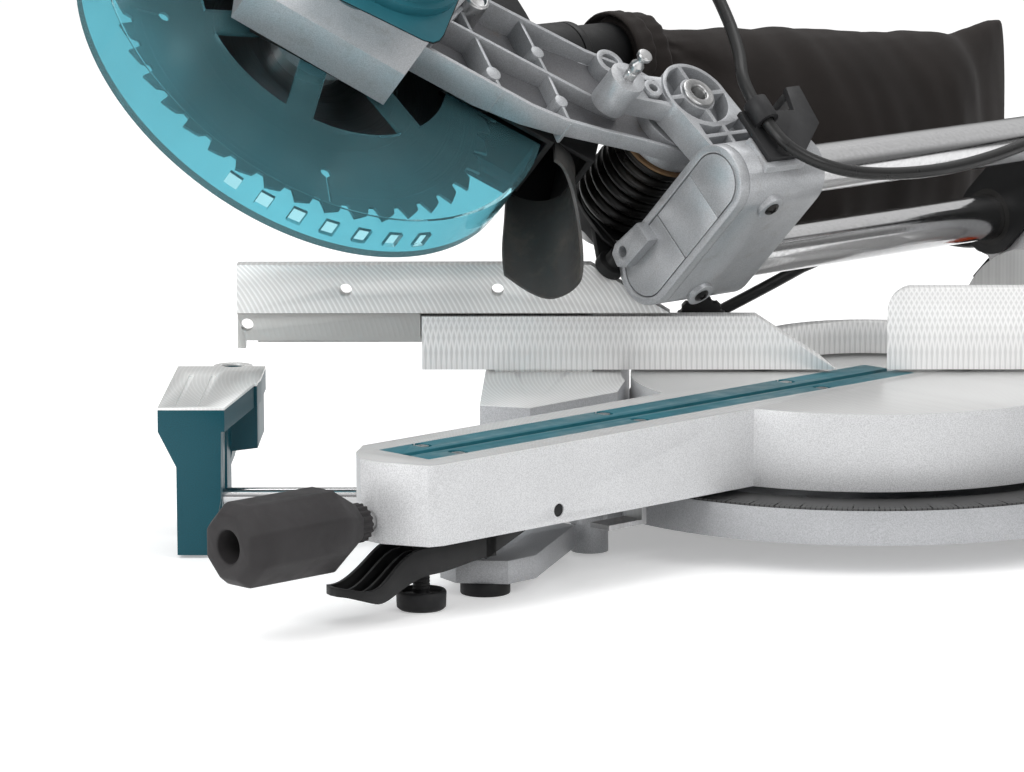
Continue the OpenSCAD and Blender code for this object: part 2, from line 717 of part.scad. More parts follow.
module tilt_bolt() color("slategray") mitred() translate([0, 0, table_h]) {
    y_rod(tilt_bolt_r, [trunnion_back - 38, -housing_back + 34]);
    rotate([90, 0, 0]) translate([0, 0, housing_back - 42])
        cylinder(r = tilt_bolt_r + 6, h = 9, $fn = 6);
}

// Mitre lock grip, detent lever and levelling foot

grip_back = -arm_reach - 15;
grip_taper = 22;
grip_nose = 8;

module mitre_grip() color("black") mitred() translate([0, 0, grip_z]) {
    y_rod(grip_shaft_r, [grip_back - 8, -nose_wall_u + 2]);
    translate([0, grip_back, 0]) rotate([90, 0, 0]) difference() {
        rotate([0, 0, 22.5]) union() {
            cylinder(r1 = grip_r / 2, r2 = grip_r, h = grip_taper, $fn = 8);
            translate([0, 0, grip_taper]) cylinder(r = grip_r, h = grip_len - grip_taper - grip_nose, $fn = 8);
            translate([0, 0, grip_len - grip_nose]) cylinder(r1 = grip_r, r2 = grip_r - 6, h = grip_nose, $fn = 8);
        }
        translate([0, 0, grip_len - 26]) cylinder(r = grip_r / 3 + 1, h = 27);
        translate([0, 0, -cut]) cylinder(r = grip_shaft_r, h = 9);
    }
}

module lock_lever() color("black") mitred() difference() {
    union() {
        side([-lever_half, lever_half]) polygon([
            [-lever_u + 10, lever_z + 6], [-lever_u - 12, lever_z + 6], [-lever_u - 30, skirt_z - 2],
            [-lever_tip + 42, skirt_z - 3], [-lever_tip, floor_z + 3], [-lever_tip + 2, floor_z - 6],
            [-lever_tip + 16, floor_z - 9], [-lever_tip + 50, floor_z + 5], [-lever_tip + 97, floor_z + 10],
            [-lever_u + 10, lever_z - 8]]);
        translate([0, -lever_u, lever_z]) x_rod(lever_pin_r, [-arm_half + gap, arm_half - gap]);
    }
    block([-level_stud_r - 4, -level_u - 12, 0], [level_stud_r + 4, -level_u + 12, table_h]);
}

module levelling_foot() color("black") mitred() translate([0, -level_u, 0]) {
    translate([0, 0, 14]) cylinder(r = level_stud_r, h = table_h - 26);
    difference() {
        translate([0, 0, 0.2]) cylinder(r1 = level_r - 1, r2 = level_r, h = 3);
        translate([0, 0, -cut]) cylinder(r = level_r / 2, h = 2);
    }
    translate([0, 0, 3.2]) cylinder(r = level_r, h = 9);
    translate([0, 0, 12.2]) cylinder(r1 = level_r, r2 = level_stud_r + 2, h = 4);
}

// Bevel arm

bearing_y = [-housing_front, -housing_back];
plate_t = 4;
pivot_boss_r = trunnion_r - 4;

module bevel_arm() color("silver") bevelled() difference() {
    union() {
        section([bearing_y[0] + plate_t, bearing_y[1]]) {
            rail_stadium(bush_r + 8);
            polygon([[-pivot_boss_r, 0], [pivot_boss_r, 0], [rail_w[1] + 20, rail_h - 10],
                     [rail_w[0] - 20, rail_h - 10]]);
        }
        y_rod(pivot_boss_r, [trunnion_back + gap, bearing_y[1]]);
        clip_boss(housing_clip, rail_w[1] + bush_r);
        clip_boss(lead_clip, rail_w[0] - bush_r);
    }
    for (w = rail_w) translate([w, 0, rail_h]) y_rod(bush_r, [bearing_y[0] - cut, bearing_y[1] + cut]);
    section([bearing_y[0] + plate_t + 12, bearing_y[1] - 10])
        polygon([[-26, 46], [26, 46], [rail_w[1] - 12, rail_h - bush_r - 14],
                 [rail_w[0] + 14, rail_h - bush_r - 14]]);
    y_rod(tilt_bolt_r + run, [0, bearing_y[1] + cut]);
    clip_bore(housing_clip);
    clip_bore(lead_clip);
    translate([0, lock_knob_y, lock_knob_h]) x_rod(knob_stud_r + run, [rail_w[0] - 46, rail_w[0] - 10]);
}

lock_knob_y = bearing_y[0] + plate_t + 13;
lock_knob_h = rail_h - 25;

module bevel_face_plate() color("black") bevelled() difference() {
    section([bearing_y[0], bearing_y[0] + plate_t]) rail_stadium(bush_r + 6);
    for (w = rail_w) translate([w, 0, rail_h]) y_rod(bush_r, [bearing_y[0] - cut, bearing_y[1]]);
}

module rail_bushes() color("burlywood") bevelled() for (w = rail_w) for (y = [0, housing_len - 26])
    translate([w, bearing_y[0] + y, rail_h]) difference() {
        y_rod(bush_r - run, [0, 26]);
        y_rod(rail_r + run, [-cut, 26 + cut]);
    }

module bevel_pointer() color("orangered") bevelled()
    translate([-42, bearing_y[0] + plate_t, 70]) difference() {
        section([-10, 0]) polygon([[-10, 4], [-4, 0], [10, 0], [10, 14], [-6, 14]]);
        translate([-2, 0, 7]) y_rod(3, [-10 - cut, -4]);
    }

module bevel_lever() color("black") mitred() translate([0, -housing_back + gap, table_h]) {
    difference() {
        y_rod(tilt_bolt_r + 9, [0, 16]);
        y_rod(tilt_bolt_r + run, [-cut, 17]);
    }
    difference() {
        section([4, 15]) polygon([[8, -10], [100, -16], [112, -10], [112, 2], [100, 8], [8, 10]]);
        y_rod(tilt_bolt_r + 8, [-cut, 17]);
    }
}

module slide_knob() color("black") bevelled()
    translate([rail_w[0] - 10, lock_knob_y, lock_knob_h]) rotate([0, -90, 0]) {
        cylinder(r = knob_stud_r, h = 36);
        translate([0, 0, 19]) difference() {
            cylinder(r = 12, h = 18);
            for (a = [0 : 45 : 315]) rotate([0, 0, a]) translate([13, 0, -cut]) cylinder(r = 3, h = 20);
        }
    }

// Carriage and rails

carriage_y = [-carriage_front + carriage_cap_t, -carriage_back];
hinge_at = [0, -hinge_u, hinge_h];
pin_at = [0, -hinge_u - pin_arm * cos(pin_angle), hinge_h + pin_arm * sin(pin_angle)];

module hinge_ear(x, r, foot) translate(hinge_at) {
    x_rod(r, x);
    side(x) polygon([[-r, 0], [r, 0], [foot[1], foot[2]], [foot[0], foot[2]]]);
}

module carriage() color("silver") bevelled() difference() {
    union() {
        section(carriage_y) rail_stadium(rail_boss_r);
        hinge_ear(ear_right, hinge_boss_r - 1, [-12, 34, rail_h - hinge_h]);
        hinge_ear(ear_left, hinge_boss_r - 5, [-14, 20, 142 - hinge_h]);
        section([-hinge_u - 14, -hinge_u + 20])
            polygon([[rail_w[0] - 16, rail_h + 8], [ear_left[0], 138], [ear_left[0], 152],
                     [ear_left[1], 146], [rail_w[0], rail_h + rail_boss_r]]);
        hull() {
            translate(hinge_at) x_rod(13, [ear_right[0] + 3, ear_right[1] - 2], $fn = 32);
            translate(pin_at) x_rod(10, [ear_right[0] + 3, ear_right[1] - 2], $fn = 32);
        }
        translate(pin_at) x_rod(12, [ear_right[0], ear_right[1] + 5]);
        for (w = rail_w) translate([w, carriage_y[0] + 24, rail_h - rail_boss_r - 3]) cylinder(r = 9, h = 9);
        block([rail_w[1], -92, rail_h - 12], [bracket_x, -58, rail_h + 12]);
    }
    for (w = rail_w) translate([w, 0, rail_h]) y_rod(rail_r + run, [carriage_y[0] - cut, carriage_y[1] + cut]);
    section([carriage_y[0] + 8, carriage_y[1] + cut])
        translate([rail_w[0] + rail_boss_r + 2, rail_h - rail_boss_r + 6])
            square([rail_gap - 2 * rail_boss_r - 4, 2 * rail_boss_r - 12]);
    translate(hinge_at) x_rod(hinge_pin_r + run, [ear_left[0] - cut, ear_right[1] + cut]);
    translate(pin_at) x_rod(pin_r + run, [ear_right[0] - cut, ear_right[1] + 6]);
    for (w = rail_w) translate([w, carriage_y[0] + 24, rail_h - 2 * rail_boss_r]) cylinder(r = 4, h = rail_boss_r);
    translate(hinge_at) for (a = [45 : 90 : 315]) rotate([a, 0, 0])
        translate([0, (hinge_pin_r + hinge_boss_r) / 2, 0]) x_rod(4, [ear_right[1] - 6, ear_right[1] + cut]);
}

module carriage_cap() color("silver") bevelled() difference() {
    section([-carriage_front, carriage_y[0]]) rail_stadium(rail_boss_r);
    section([-carriage_front - cut, -carriage_front + 4]) rail_stadium(rail_boss_r - 5);
    for (w = rail_w) translate([w, 0, rail_h]) y_rod(4, [-carriage_front - cut, carriage_y[0] - 2]);
}

module slide_rails() color("lightgray") bevelled() for (w = rail_w) translate([w, 0, rail_h]) difference() {
    y_rod(rail_r, [carriage_y[0], -rail_rear]);
    y_rod(rail_r - 4, [carriage_y[0] + 6, -rail_rear + cut]);
}

module rail_end_plate() color("silver") bevelled() difference() {
    section([-rail_rear, -rail_rear + end_plate_t]) rail_stadium(rail_r + 5);
    section([-rail_rear + 4, -rail_rear + end_plate_t + cut]) rail_stadium(rail_r);
    for (w = rail_w) translate([w, 0, rail_h]) y_rod(3, [-rail_rear - cut, -rail_rear + end_plate_t]);
}

module hinge_pin() color("slategray") bevelled() translate(hinge_at) {
    x_rod(hinge_pin_r, [ear_left[0] - 2, ear_right[1] + 1]);
    x_ring(hinge_pin_r + 5, hinge_pin_r - 1, [ear_left[0] - 10, ear_left[0] - gap]);
}

spring_pitch = (spring_x[1] - spring_x[0] - spring_wire) / spring_turns;
spring_sides = 6;
rings_per_turn = 8;
spring_steps = spring_turns * rings_per_turn;
spring_coil = [for (i = [0 : spring_steps])
    let (a = 360 * i / rings_per_turn)
    [spring_x[0] + spring_wire / 2 + spring_pitch * i / rings_per_turn, spring_r * sin(a), spring_r * cos(a)]];
spring_path = concat([spring_coil[0] - [0, 2 * spring_wire, 0]], spring_coil,
                     [spring_coil[spring_steps] + [0, 2 * spring_wire, 0]]);

module return_spring() color("black") bevelled() translate(hinge_at)
    tube(spring_path, spring_wire / 2, spring_sides, [1, 0.01, 0.02]);

bracket_x = rail_w[1] + rail_boss_r + 2;

module cord_bracket() color("black") bevelled() difference() {
    union() {
        side([bracket_x, bracket_x + 4]) polygon([[-90, rail_h - 8], [-60, rail_h - 8], [-30, rail_h + 14],
            [-26, rail_h + 44], [-38, rail_h + 44], [-44, rail_h + 26], [-90, rail_h + 30]]);
        translate([bracket_eye[1], -bracket_eye[0], bracket_eye[2] - eye_t / 2]) cylinder(r = eye_r, h = eye_t);
        block([bracket_x - 22, -38, rail_h + 38], [bracket_x + 1, -28, rail_h + 43]);
    }
    translate([bracket_eye[1], -bracket_eye[0], bracket_eye[2] - eye_t]) cylinder(r = cord_r + gap, h = 2 * eye_t);
    translate([0, -70, rail_h + 2]) x_rod(2.5, [bracket_x - cut, bracket_x + 6]);
}

module stop_pin() color("lightsteelblue") bevelled() translate(pin_at) {
    x_rod(pin_r, [ear_right[0] + 2, ear_right[1] + 18]);
    x_rod(pin_r + 1, [ear_right[1] + 18, ear_right[1] + 27]);
}

// Head

arm_tail = [[181, -104], [166, -36], [156, -4], [152, 44]];
arm_low = [[-20, -18], [40, -40], [108, -62]];
arm_high = [[146, 16], [96, 15], [62, 20], [30, 26], [-16, 20]];
arm_web_t = 6;

function along(points) = [for (p = points) [-p[0], p[1]]];

arm_outline = along(concat(arm_low, arm_tail, arm_high));
arm_pocket = along([[34, -28], [106, -52], [170, -84], [158, -38], [148, -6], [142, 9], [98, 8], [70, 10],
                    [34, 16]]);
lock_eye = [pin_arm * cos(pin_angle), pin_arm * sin(pin_angle)];

module head_arm() color("silver") at_hinge() difference() {
    union() {
        difference() {
            side(arm_x) polygon(arm_outline);
            side([arm_x[0] + arm_web_t, arm_x[1] + cut]) polygon(arm_pocket);
        }
        x_rod(hinge_boss_r, arm_x);
        x_rod(hub_tube_r, [ear_left[1] + 2, arm_x[1]]);
        translate([0, -lock_eye[0], lock_eye[1]]) x_rod(pin_r + 7, [arm_x[0] + 2, arm_x[1]]);
        for (u = [92, 132]) translate([arm_x[0], 0, 0]) {
            block([0, -u - 2, -58 + (u == 92 ? 4 : -10)], [arm_x[1] - arm_x[0] - 3, -u + 2, 12]);
            translate([0, -u, -16]) x_rod(7, [0, arm_x[1] - arm_x[0] - 2]);
        }
        block([arm_x[0], -150, -18], [arm_x[1] - 3, -60, -14]);
    }
    x_rod(hinge_pin_r + run, [ear_left[0], arm_x[1] + cut]);
    translate([0, -lock_eye[0], lock_eye[1]]) x_rod(pin_r + 0.5, [0, arm_x[1] + cut]);
}

gearbox_outline = along(concat(arm_tail, [[160, 66], [196, 78], [246, 72], [284, 40], [296, -30], [288, -100]]));

module gear_cavity() {
    translate([0, -blade_reach, -blade_drop]) {
        x_rod(gear_module * (gear_teeth / 2 + 1) + gap, [gear_x[0] - 2, gear_x[1] + 2]);
        translate([0, motor_at[0], motor_at[1]])
            x_rod(gear_module * (pinion_teeth / 2 + 1) + 1, [gear_x[0] - 2, gearbox_x[1] + cut]);
    }
}

bearing_r = spindle_r + 6;
spindle_seats = [[12, 12 + bearing_t], [gearbox_x[1] - bearing_t, gearbox_x[1]]];

module gear_housing() color("silver") at_hinge() difference() {
    union() {
        side(gearbox_x) polygon(gearbox_outline);
        translate([0, -blade_reach, -blade_drop]) x_rod(boss_r, [spindle_seats[0][0], gearbox_x[0] + cut]);
    }
    gear_cavity();
    translate([0, -blade_reach, -blade_drop]) {
        x_rod(spindle_r + 2, [0, gearbox_x[1] + cut]);
        x_rod(bearing_r, [0, spindle_seats[0][1]]);
        x_rod(bearing_r, [spindle_seats[1][0], gearbox_x[1] + cut]);
    }
}

module bearings() color("lightgray") {
    at_blade() for (x = spindle_seats) x_ring(bearing_r - run, spindle_r + run, x);
    at_motor() x_ring(shaft_r + 5 - run, shaft_r + run, [cap_x[1] - cap_wall - 7, cap_x[1] - cap_wall]);
}

cap_wall = 5;

module motor_housing() color("teal") at_motor() difference() {
    union() {
        x_rod(motor_r, motor_x);
        x_rod(motor_r + 4, [motor_x[0], motor_x[0] + 8]);
        x_rod(motor_r + 2, [motor_x[1] - 10, motor_x[1]]);
    }
    x_rod(motor_r - motor_wall, [motor_x[0] + 5, motor_x[1] + cut]);
    x_rod(shaft_r + 6, [motor_x[0] - cut, motor_x[1]]);
    for (a = [60 : 15 : 300]) rotate([a, 0, 0])
        translate([0, motor_r - motor_wall / 2, 0]) block([motor_x[1] - 40, -3 * motor_wall, -2.5],
                                                           [motor_x[1] - 16, 3 * motor_wall, 2.5]);
}

module motor_cap() color("black") at_motor() difference() {
    union() {
        x_rod(motor_r, [cap_x[0], cap_x[1] - 8]);
        translate([cap_x[1] - 8, 0, 0]) rotate([0, 90, 0]) cylinder(r1 = motor_r, r2 = motor_r - 7, h = 8);
    }
    x_rod(motor_r - 2 * motor_wall, [cap_x[0] - cut, cap_x[1] - cap_wall - 7]);
    x_rod(shaft_r + 5, [cap_x[0], cap_x[1] - cap_wall]);
    for (a = [0 : 30 : 330]) rotate([a, 0, 0]) translate([0, motor_r / 2 + 6, 0])
        x_rod(3.5, [cap_x[1] - cap_wall - 8, cap_x[1] + cut]);
}

field_x = [motor_x[0] + 26, motor_x[1] - 44];

module field_coil() color("chocolate") at_motor() difference() {
    x_rod(motor_r - motor_wall - run, field_x);
    x_rod(motor_r - motor_wall - 13, [field_x[0] - cut, field_x[1] + cut]);
}

module half_plane(r) translate([-r, 0]) square([2 * r, r]);

module blade_case() color("dimgray") at_hinge() difference() {
    union() {
        translate([0, -blade_reach, -blade_drop]) {
            side([case_left - case_t, case_face]) intersection() {
                circle(case_out_r);
                half_plane(case_out_r);
            }
            side([case_half, case_face]) translate([-46, -44]) square([92, 46]);
        }
        side([-chute_half, chute_half]) polygon(along([[chute_back, chute_low], [100, chute_low], [120, 40],
            [chute_back + 30, 40], [chute_back, 16]]));
        nozzle_frame() rotate([0, 0, 0]) cylinder(r = nozzle_r + socket_t, h = 32);
    }
    translate([0, -blade_reach, -blade_drop]) {
        x_rod(case_in_r, [case_left, case_half]);
        x_rod(boss_r + run, [0, case_face + cut]);
        x_rod(flange_r + 8, [-case_face - cut, 0]);
    }
    side([-chute_half + 3, chute_half - 3]) polygon(along([[chute_back + 4, chute_low - cut], [98, chute_low - cut],
        [98, 30], [chute_back + 32, 30], [chute_back + 4, 14]]));
    nozzle_frame() translate([0, 0, 6]) cylinder(r = nozzle_r + run, h = 40);
    nozzle_frame() translate([0, 0, -6]) cylinder(r = nozzle_r - 4, h = 40);
}

// The nozzle points along the rails when the head is raised
module nozzle_frame() translate([0, -nozzle_at[0] - 32 * cos(head_lift), nozzle_at[1] - 32 * sin(head_lift)])
    rotate([head_lift - 90, 0, 0]) children();

module dust_nozzle() color("black") at_hinge() nozzle_frame() translate([0, 0, 7]) difference() {
    union() {
        cylinder(r = nozzle_r, h = nozzle_len);
        translate([0, 0, 26]) cylinder(r = nozzle_r + socket_t, h = 6);
    }
    translate([0, 0, -cut]) cylinder(r = nozzle_r - 3, h = nozzle_len + 2 * cut);
}

module dust_flap() color("black") at_hinge() intersection() {
    translate([0, -chute_back - flap_r - 2, flap_low]) difference() {
        cylinder(r = flap_r, h = chute_low - flap_low);
        translate([0, 0, -cut]) cylinder(r = flap_r - flap_t, h = chute_low - flap_low + 2 * cut);
        block([-flap_r, -2 * flap_r, -cut], [flap_r, 0, chute_low - flap_low + cut]);
    }
    translate([0, -chute_back - 2 * flap_r, flap_low + flap_r + cut]) {
        y_rod(flap_r + cut, [0, 3 * flap_r]);
        block([-flap_r - cut, 0, 0], [flap_r + cut, 3 * flap_r, chute_low - flap_low]);
    }
}

bag_front = nozzle_len + 7.5;

// The bag hangs plumb from its neck, so its slices turn back by the bevel
module bag_slice(z, drop, w, h) rotate([0, 0, bevel_set]) translate([0, drop, z])
    linear_extrude(2) resize([w, h]) circle(r = h / 2, $fn = 32);

module dust_bag() color([0.33, 0.29, 0.27]) at_hinge() nozzle_frame() translate([0, 0, bag_front]) hull() {
    bag_slice(0, 0, 2 * bag_neck_r, 2 * bag_neck_r);
    bag_slice(24, 4, 2 * bag_neck_r + 4, 2 * bag_neck_r + 8);
    bag_slice(84, bag_drop, bag_w, bag_h);
    bag_slice(bag_len - 80, bag_drop + bag_tail_drop / 2, bag_w, bag_h - bag_tail_drop);
    bag_slice(bag_len - 2, bag_drop + bag_tail_drop, 8, bag_h - 2 * bag_tail_drop);
}

gland_at = [165.5, 118, 330];

module cord_gland() color("black") bevelled() translate([gland_at[1], -gland_at[0] - run, gland_at[2]])
    rotate([90, 0, 0]) cylinder(r1 = cord_r + 2, r2 = cord_r + 5, h = 30);

// Handle with its trigger and lock button

handle_x = [gearbox_x[0], gearbox_x[0] + handle_t];
handle_outer = along([[296.3, -30], [284.3, 40], [318, 84], [404, 78], [426, 54], [404, 14], [340, -22]]);
handle_inner = along([[322, 18], [332, 50], [398, 48], [404, 42], [390, 26], [344, 8]]);

module handle() color("black") at_hinge() difference() {
    side(handle_x) difference() {
        offset(r = 8, $fn = 32) offset(delta = -8) polygon(handle_outer);
        offset(r = 6, $fn = 32) offset(delta = -6) polygon(handle_inner);
    }
    side([handle_x[0] + 8, handle_x[1] - 8]) polygon(along([[340, 40], [340, 66], [384, 66], [384, 40]]));
    translate([(handle_x[0] + handle_x[1]) / 2, -362, 60]) cylinder(r = 5 + gap, h = 40);
}

module trigger() color("dimgray") at_hinge()
    side([handle_x[0] + 8.5, handle_x[1] - 8.5])
        polygon(along([[341, 50], [341, 58], [383, 58], [383, 50], [378, 42], [360, 39], [346, 42]]));

module lock_button() color("dimgray") at_hinge() translate([(handle_x[0] + handle_x[1]) / 2, -362, 68])
    cylinder(r = 5, h = 18);

// Blade, spindle and gears

tooth_depth = 9;
gullet_share = 0.62;

function tooth_at(i, r, share) =
    let (a = 360 * (i + share) / teeth) [r * cos(a), r * sin(a)];

blade_outline = [for (i = [0 : teeth - 1]) each [
    tooth_at(i, blade_r, 0), tooth_at(i, blade_r - 2.2, 0.3), tooth_at(i, blade_r - 4, gullet_share - 0.1),
    tooth_at(i, blade_r - tooth_depth, gullet_share + 0.02), tooth_at(i, blade_r - tooth_depth, 0.86),
    tooth_at(i, blade_r - 4, 0.955)]];

module blade() color("lightgray") at_blade() difference() {
    side([-blade_t / 2, blade_t / 2]) polygon(blade_outline);
    x_rod(bore_r + run, [-blade_t, blade_t]);
    for (a = [20 : 90 : 290]) rotate([a, 0, 0]) {
        translate([0, 0, blade_r - 32]) x_rod(3.5, [-blade_t, blade_t]);
        block([-blade_t, -0.8, blade_r - 32], [blade_t, 0.8, blade_r - tooth_depth + cut]);
    }
}

module blade_flanges() color("slategray") at_blade() {
    x_rod(bore_r, [-blade_t / 2, blade_t / 2]);
    x_rod(flange_r, [blade_t / 2, blade_t / 2 + flange_t]);
    x_rod(flange_r, [-blade_t / 2 - flange_t, -blade_t / 2]);
    translate([-blade_t / 2 - flange_t - 6, 0, 0]) rotate([0, 90, 0]) cylinder(r = 9, h = 6, $fn = 6);
}

// A gear blank's outline with straight sided teeth, its first tooth on the y axis
module gear_outline(count) {
    pitch_r = gear_module * count / 2;
    step = 360 / count;
    polygon([for (i = [0 : count - 1]) each [
        for (s = [[-0.31, -1.2], [-0.19, 0], [-0.09, 0.8], [0.09, 0.8], [0.19, 0], [0.31, -1.2]])
            let (a = step * (i + s[0]), r = pitch_r + gear_module * s[1]) [r * cos(a), r * sin(a)]]]);
}

mesh_angle = 90 + (90 - gear_lean) - 90;

module spindle() color("slategray") at_blade() {
    x_rod(spindle_r, [blade_t / 2 + flange_t, gearbox_x[1]]);
    side(gear_x) difference() {
        rotate(mesh_angle + 180 / gear_teeth) gear_outline(gear_teeth);
        circle(spindle_r);
    }
}

module armature() color("sienna") at_motor() {
    x_rod(shaft_r, [gear_x[0], cap_x[1] - cap_wall - gap]);
    side(gear_x) difference() {
        rotate(mesh_angle + 180) gear_outline(pinion_teeth);
        circle(shaft_r);
    }
    x_ring(motor_r - motor_wall - 6, shaft_r, [motor_x[0] + 9, motor_x[0] + 20]);
    x_ring(motor_r - motor_wall - 14, shaft_r, [field_x[0] + 4, field_x[1] - 4]);
    x_ring(shaft_r + 8, shaft_r, [field_x[1] + 10, field_x[1] + 28]);
}

// Moving guard: a clear shell over the lower half of the blade

guard_windows = [48.5 : 8.3 : 99];

module guard_sector(r_in, r_out) intersection() {
    difference() {
        circle(r_out);
        circle(r_in);
    }
    mirror([0, 1]) half_plane(r_out);
}

module lower_guard() color([0.2, 0.6, 0.65, 0.5]) at_blade() difference() {
    union() {
        side(guard_x) guard_sector(guard_in_r, guard_out_r);
        side([guard_x[0], guard_x[0] + guard_t]) guard_sector(guard_hole_r, guard_out_r);
        side([guard_half, guard_half + guard_t]) {
            guard_sector(guard_hole_r, guard_out_r);
            difference() {
                union() {
                    circle(boss_r + 7);
                    for (a = [215, 270, 325]) rotate(a) translate([0, -9]) square([guard_hole_r + 4, 18]);
                }
                circle(boss_r + gap);
            }
        }
    }
    for (a = guard_windows) rotate([-a, 0, 0]) translate([0, guard_in_r, 0])
        block([3, -4, -4.5], [14, 8, 4.5]);
}

// Mains lead

module cord_head() color("black") bevelled() tube(from_arm(head_route), cord_r, cord_sides, [1, 0.1, 0.05]);

module cord_loop() color("black") bevelled() tube(from_arm(loop_route), cord_r, cord_sides, [1, 0.1, 0.05]);

module cord_rear() color("black") bevelled() tube(from_arm(rear_route), cord_r, cord_sides, [1, 0.1, 0.05]);

module cord_lead() color("black")
    tube(concat(lead_route, [coil_entry - [0, cord_d, 0], coil_entry]), cord_r, cord_sides);

coil_rings = 24;
coil_steps = coil_loops * coil_rings;
climb_steps = coil_rings / 2;
coil_inner_r = coil_r - coil_pitch * coil_loops / 2;
coil_outer_r = coil_r + coil_pitch * coil_loops / 2;

// Bottom layer winds in, half a turn climbs, top layer winds out
function coil_point(i) =
    let (a = 180 + 360 * i / coil_rings,
         down = i <= coil_steps,
         climb = min(1, max(0, (i - coil_steps) / climb_steps)),
         out = max(0, i - coil_steps - climb_steps),
         dip = coil_pitch / 4 * sin(180 * climb),
         r = down ? coil_outer_r - coil_pitch * i / coil_rings
                  : coil_inner_r - dip + coil_pitch * out / coil_rings,
         z = coil_low + coil_pitch * climb)
    [coil_at[0] + r * cos(a), coil_at[1] - r * sin(a), z];

coil_points = [for (i = [0 : 2 * coil_steps + climb_steps]) coil_point(i)];
coil_last = len(coil_points) - 1;
coil_entry = coil_points[0] - [0, cord_d, 0];
coil_tail_way = unit(coil_points[coil_last] - coil_points[coil_last - 1]);
coil_path = concat([coil_entry], coil_points, [coil_points[coil_last] + cord_d * coil_tail_way]);

module cord_coil() color("black") tube(coil_path, cord_r, 6);

plug_at = coil_path[len(coil_path) - 1];
plug_turn = atan2(coil_tail_way[1], coil_tail_way[0]);

module plug() color("black") translate([plug_at[0], plug_at[1], 0]) rotate([0, 0, plug_turn]) {
    translate([0, 0, plug_at[2]]) rotate([0, 90, 0]) cylinder(r1 = cord_r + 1, r2 = cord_r + 4, h = 24);
    translate([24, 0, plug_at[2]]) block([0, -plug_half[1], -plug_half[2]],
                                          [2 * plug_half[0], plug_half[1], plug_half[2]]);
    for (s = [-1, 1]) translate([24 + 2 * plug_half[0], 9.5 * s, plug_at[2]]) rotate([0, 90, 0])
        cylinder(r = 2.4, h = 19);
}

echo(least_spring_gap = self_gap(spring_coil, rings_per_turn - 1, spring_wire / 2));
echo(least_coil_gap = self_gap(coil_points, coil_rings - 4, cord_r));

base_casting();
mitre_scale();
fence();
fence_bolts();
base_feet();
pivot_bolt();
turntable();
kerf_boards();
kerf_screws();
mitre_pointer();
detent_spring();
tilt_bolt();
mitre_grip();
lock_lever();
levelling_foot();
upper_fence();
fence_knob();
support_left();
rods_left();
support_right();
rods_right();
bevel_arm();
bevel_face_plate();
rail_bushes();
bevel_pointer();
bevel_lever();
slide_knob();
carriage();
carriage_cap();
slide_rails();
rail_end_plate();
hinge_pin();
return_spring();
cord_bracket();
stop_pin();
head_arm();
blade_case();
gear_housing();
motor_housing();
motor_cap();
field_coil();
handle();
dust_nozzle();
dust_flap();
dust_bag();
cord_gland();
bearings();
trigger();
lock_button();
blade();
blade_flanges();
spindle();
armature();
lower_guard();
cord_head();
cord_loop();
cord_rear();
cord_lead();
cord_coil();
plug();
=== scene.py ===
import json
import math

import bmesh
import bpy
from mathutils import Matrix, Vector, noise

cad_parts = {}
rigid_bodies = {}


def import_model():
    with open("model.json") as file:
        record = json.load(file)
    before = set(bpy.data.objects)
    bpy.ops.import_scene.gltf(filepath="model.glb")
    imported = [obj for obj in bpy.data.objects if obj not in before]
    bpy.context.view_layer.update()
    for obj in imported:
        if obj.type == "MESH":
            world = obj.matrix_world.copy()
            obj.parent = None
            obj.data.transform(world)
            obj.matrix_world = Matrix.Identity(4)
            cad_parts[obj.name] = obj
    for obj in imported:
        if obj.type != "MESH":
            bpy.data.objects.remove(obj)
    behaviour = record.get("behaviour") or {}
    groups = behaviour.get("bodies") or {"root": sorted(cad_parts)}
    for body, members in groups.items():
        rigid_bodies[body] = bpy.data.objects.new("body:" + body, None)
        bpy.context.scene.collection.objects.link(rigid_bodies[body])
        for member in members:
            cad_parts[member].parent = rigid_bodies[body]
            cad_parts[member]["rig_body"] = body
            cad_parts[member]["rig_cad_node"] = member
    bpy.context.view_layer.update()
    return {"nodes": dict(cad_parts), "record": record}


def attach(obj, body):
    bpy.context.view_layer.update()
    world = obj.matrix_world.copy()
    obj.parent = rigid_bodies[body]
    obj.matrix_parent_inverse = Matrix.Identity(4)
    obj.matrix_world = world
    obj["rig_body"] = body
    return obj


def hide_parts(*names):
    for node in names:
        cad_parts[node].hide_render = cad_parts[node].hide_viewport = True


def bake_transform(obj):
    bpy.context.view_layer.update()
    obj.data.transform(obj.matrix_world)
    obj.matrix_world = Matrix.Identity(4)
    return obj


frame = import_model()
nodes = frame["nodes"]
scene = bpy.context.scene
scene.view_settings.view_transform = "Standard"
bodies = frame["record"]["behaviour"]["bodies"]
bodyOf = {node: body for body, members in bodies.items() for node in members}
slotOf = {part["node"]: part["material_slot"] for part in frame["record"]["subparts"]}
print("frame loaded,", len(nodes), "nodes")

# camera where the photographer stood, long lens, looking a little down
cameraView = {"place": (-0.14115, -3.42135, 0.6812), "focalPixels": 5484.1, "imageWide": 1024,
              "yaw": -0.02452, "pitch": 0.17234, "roll": -0.00481}


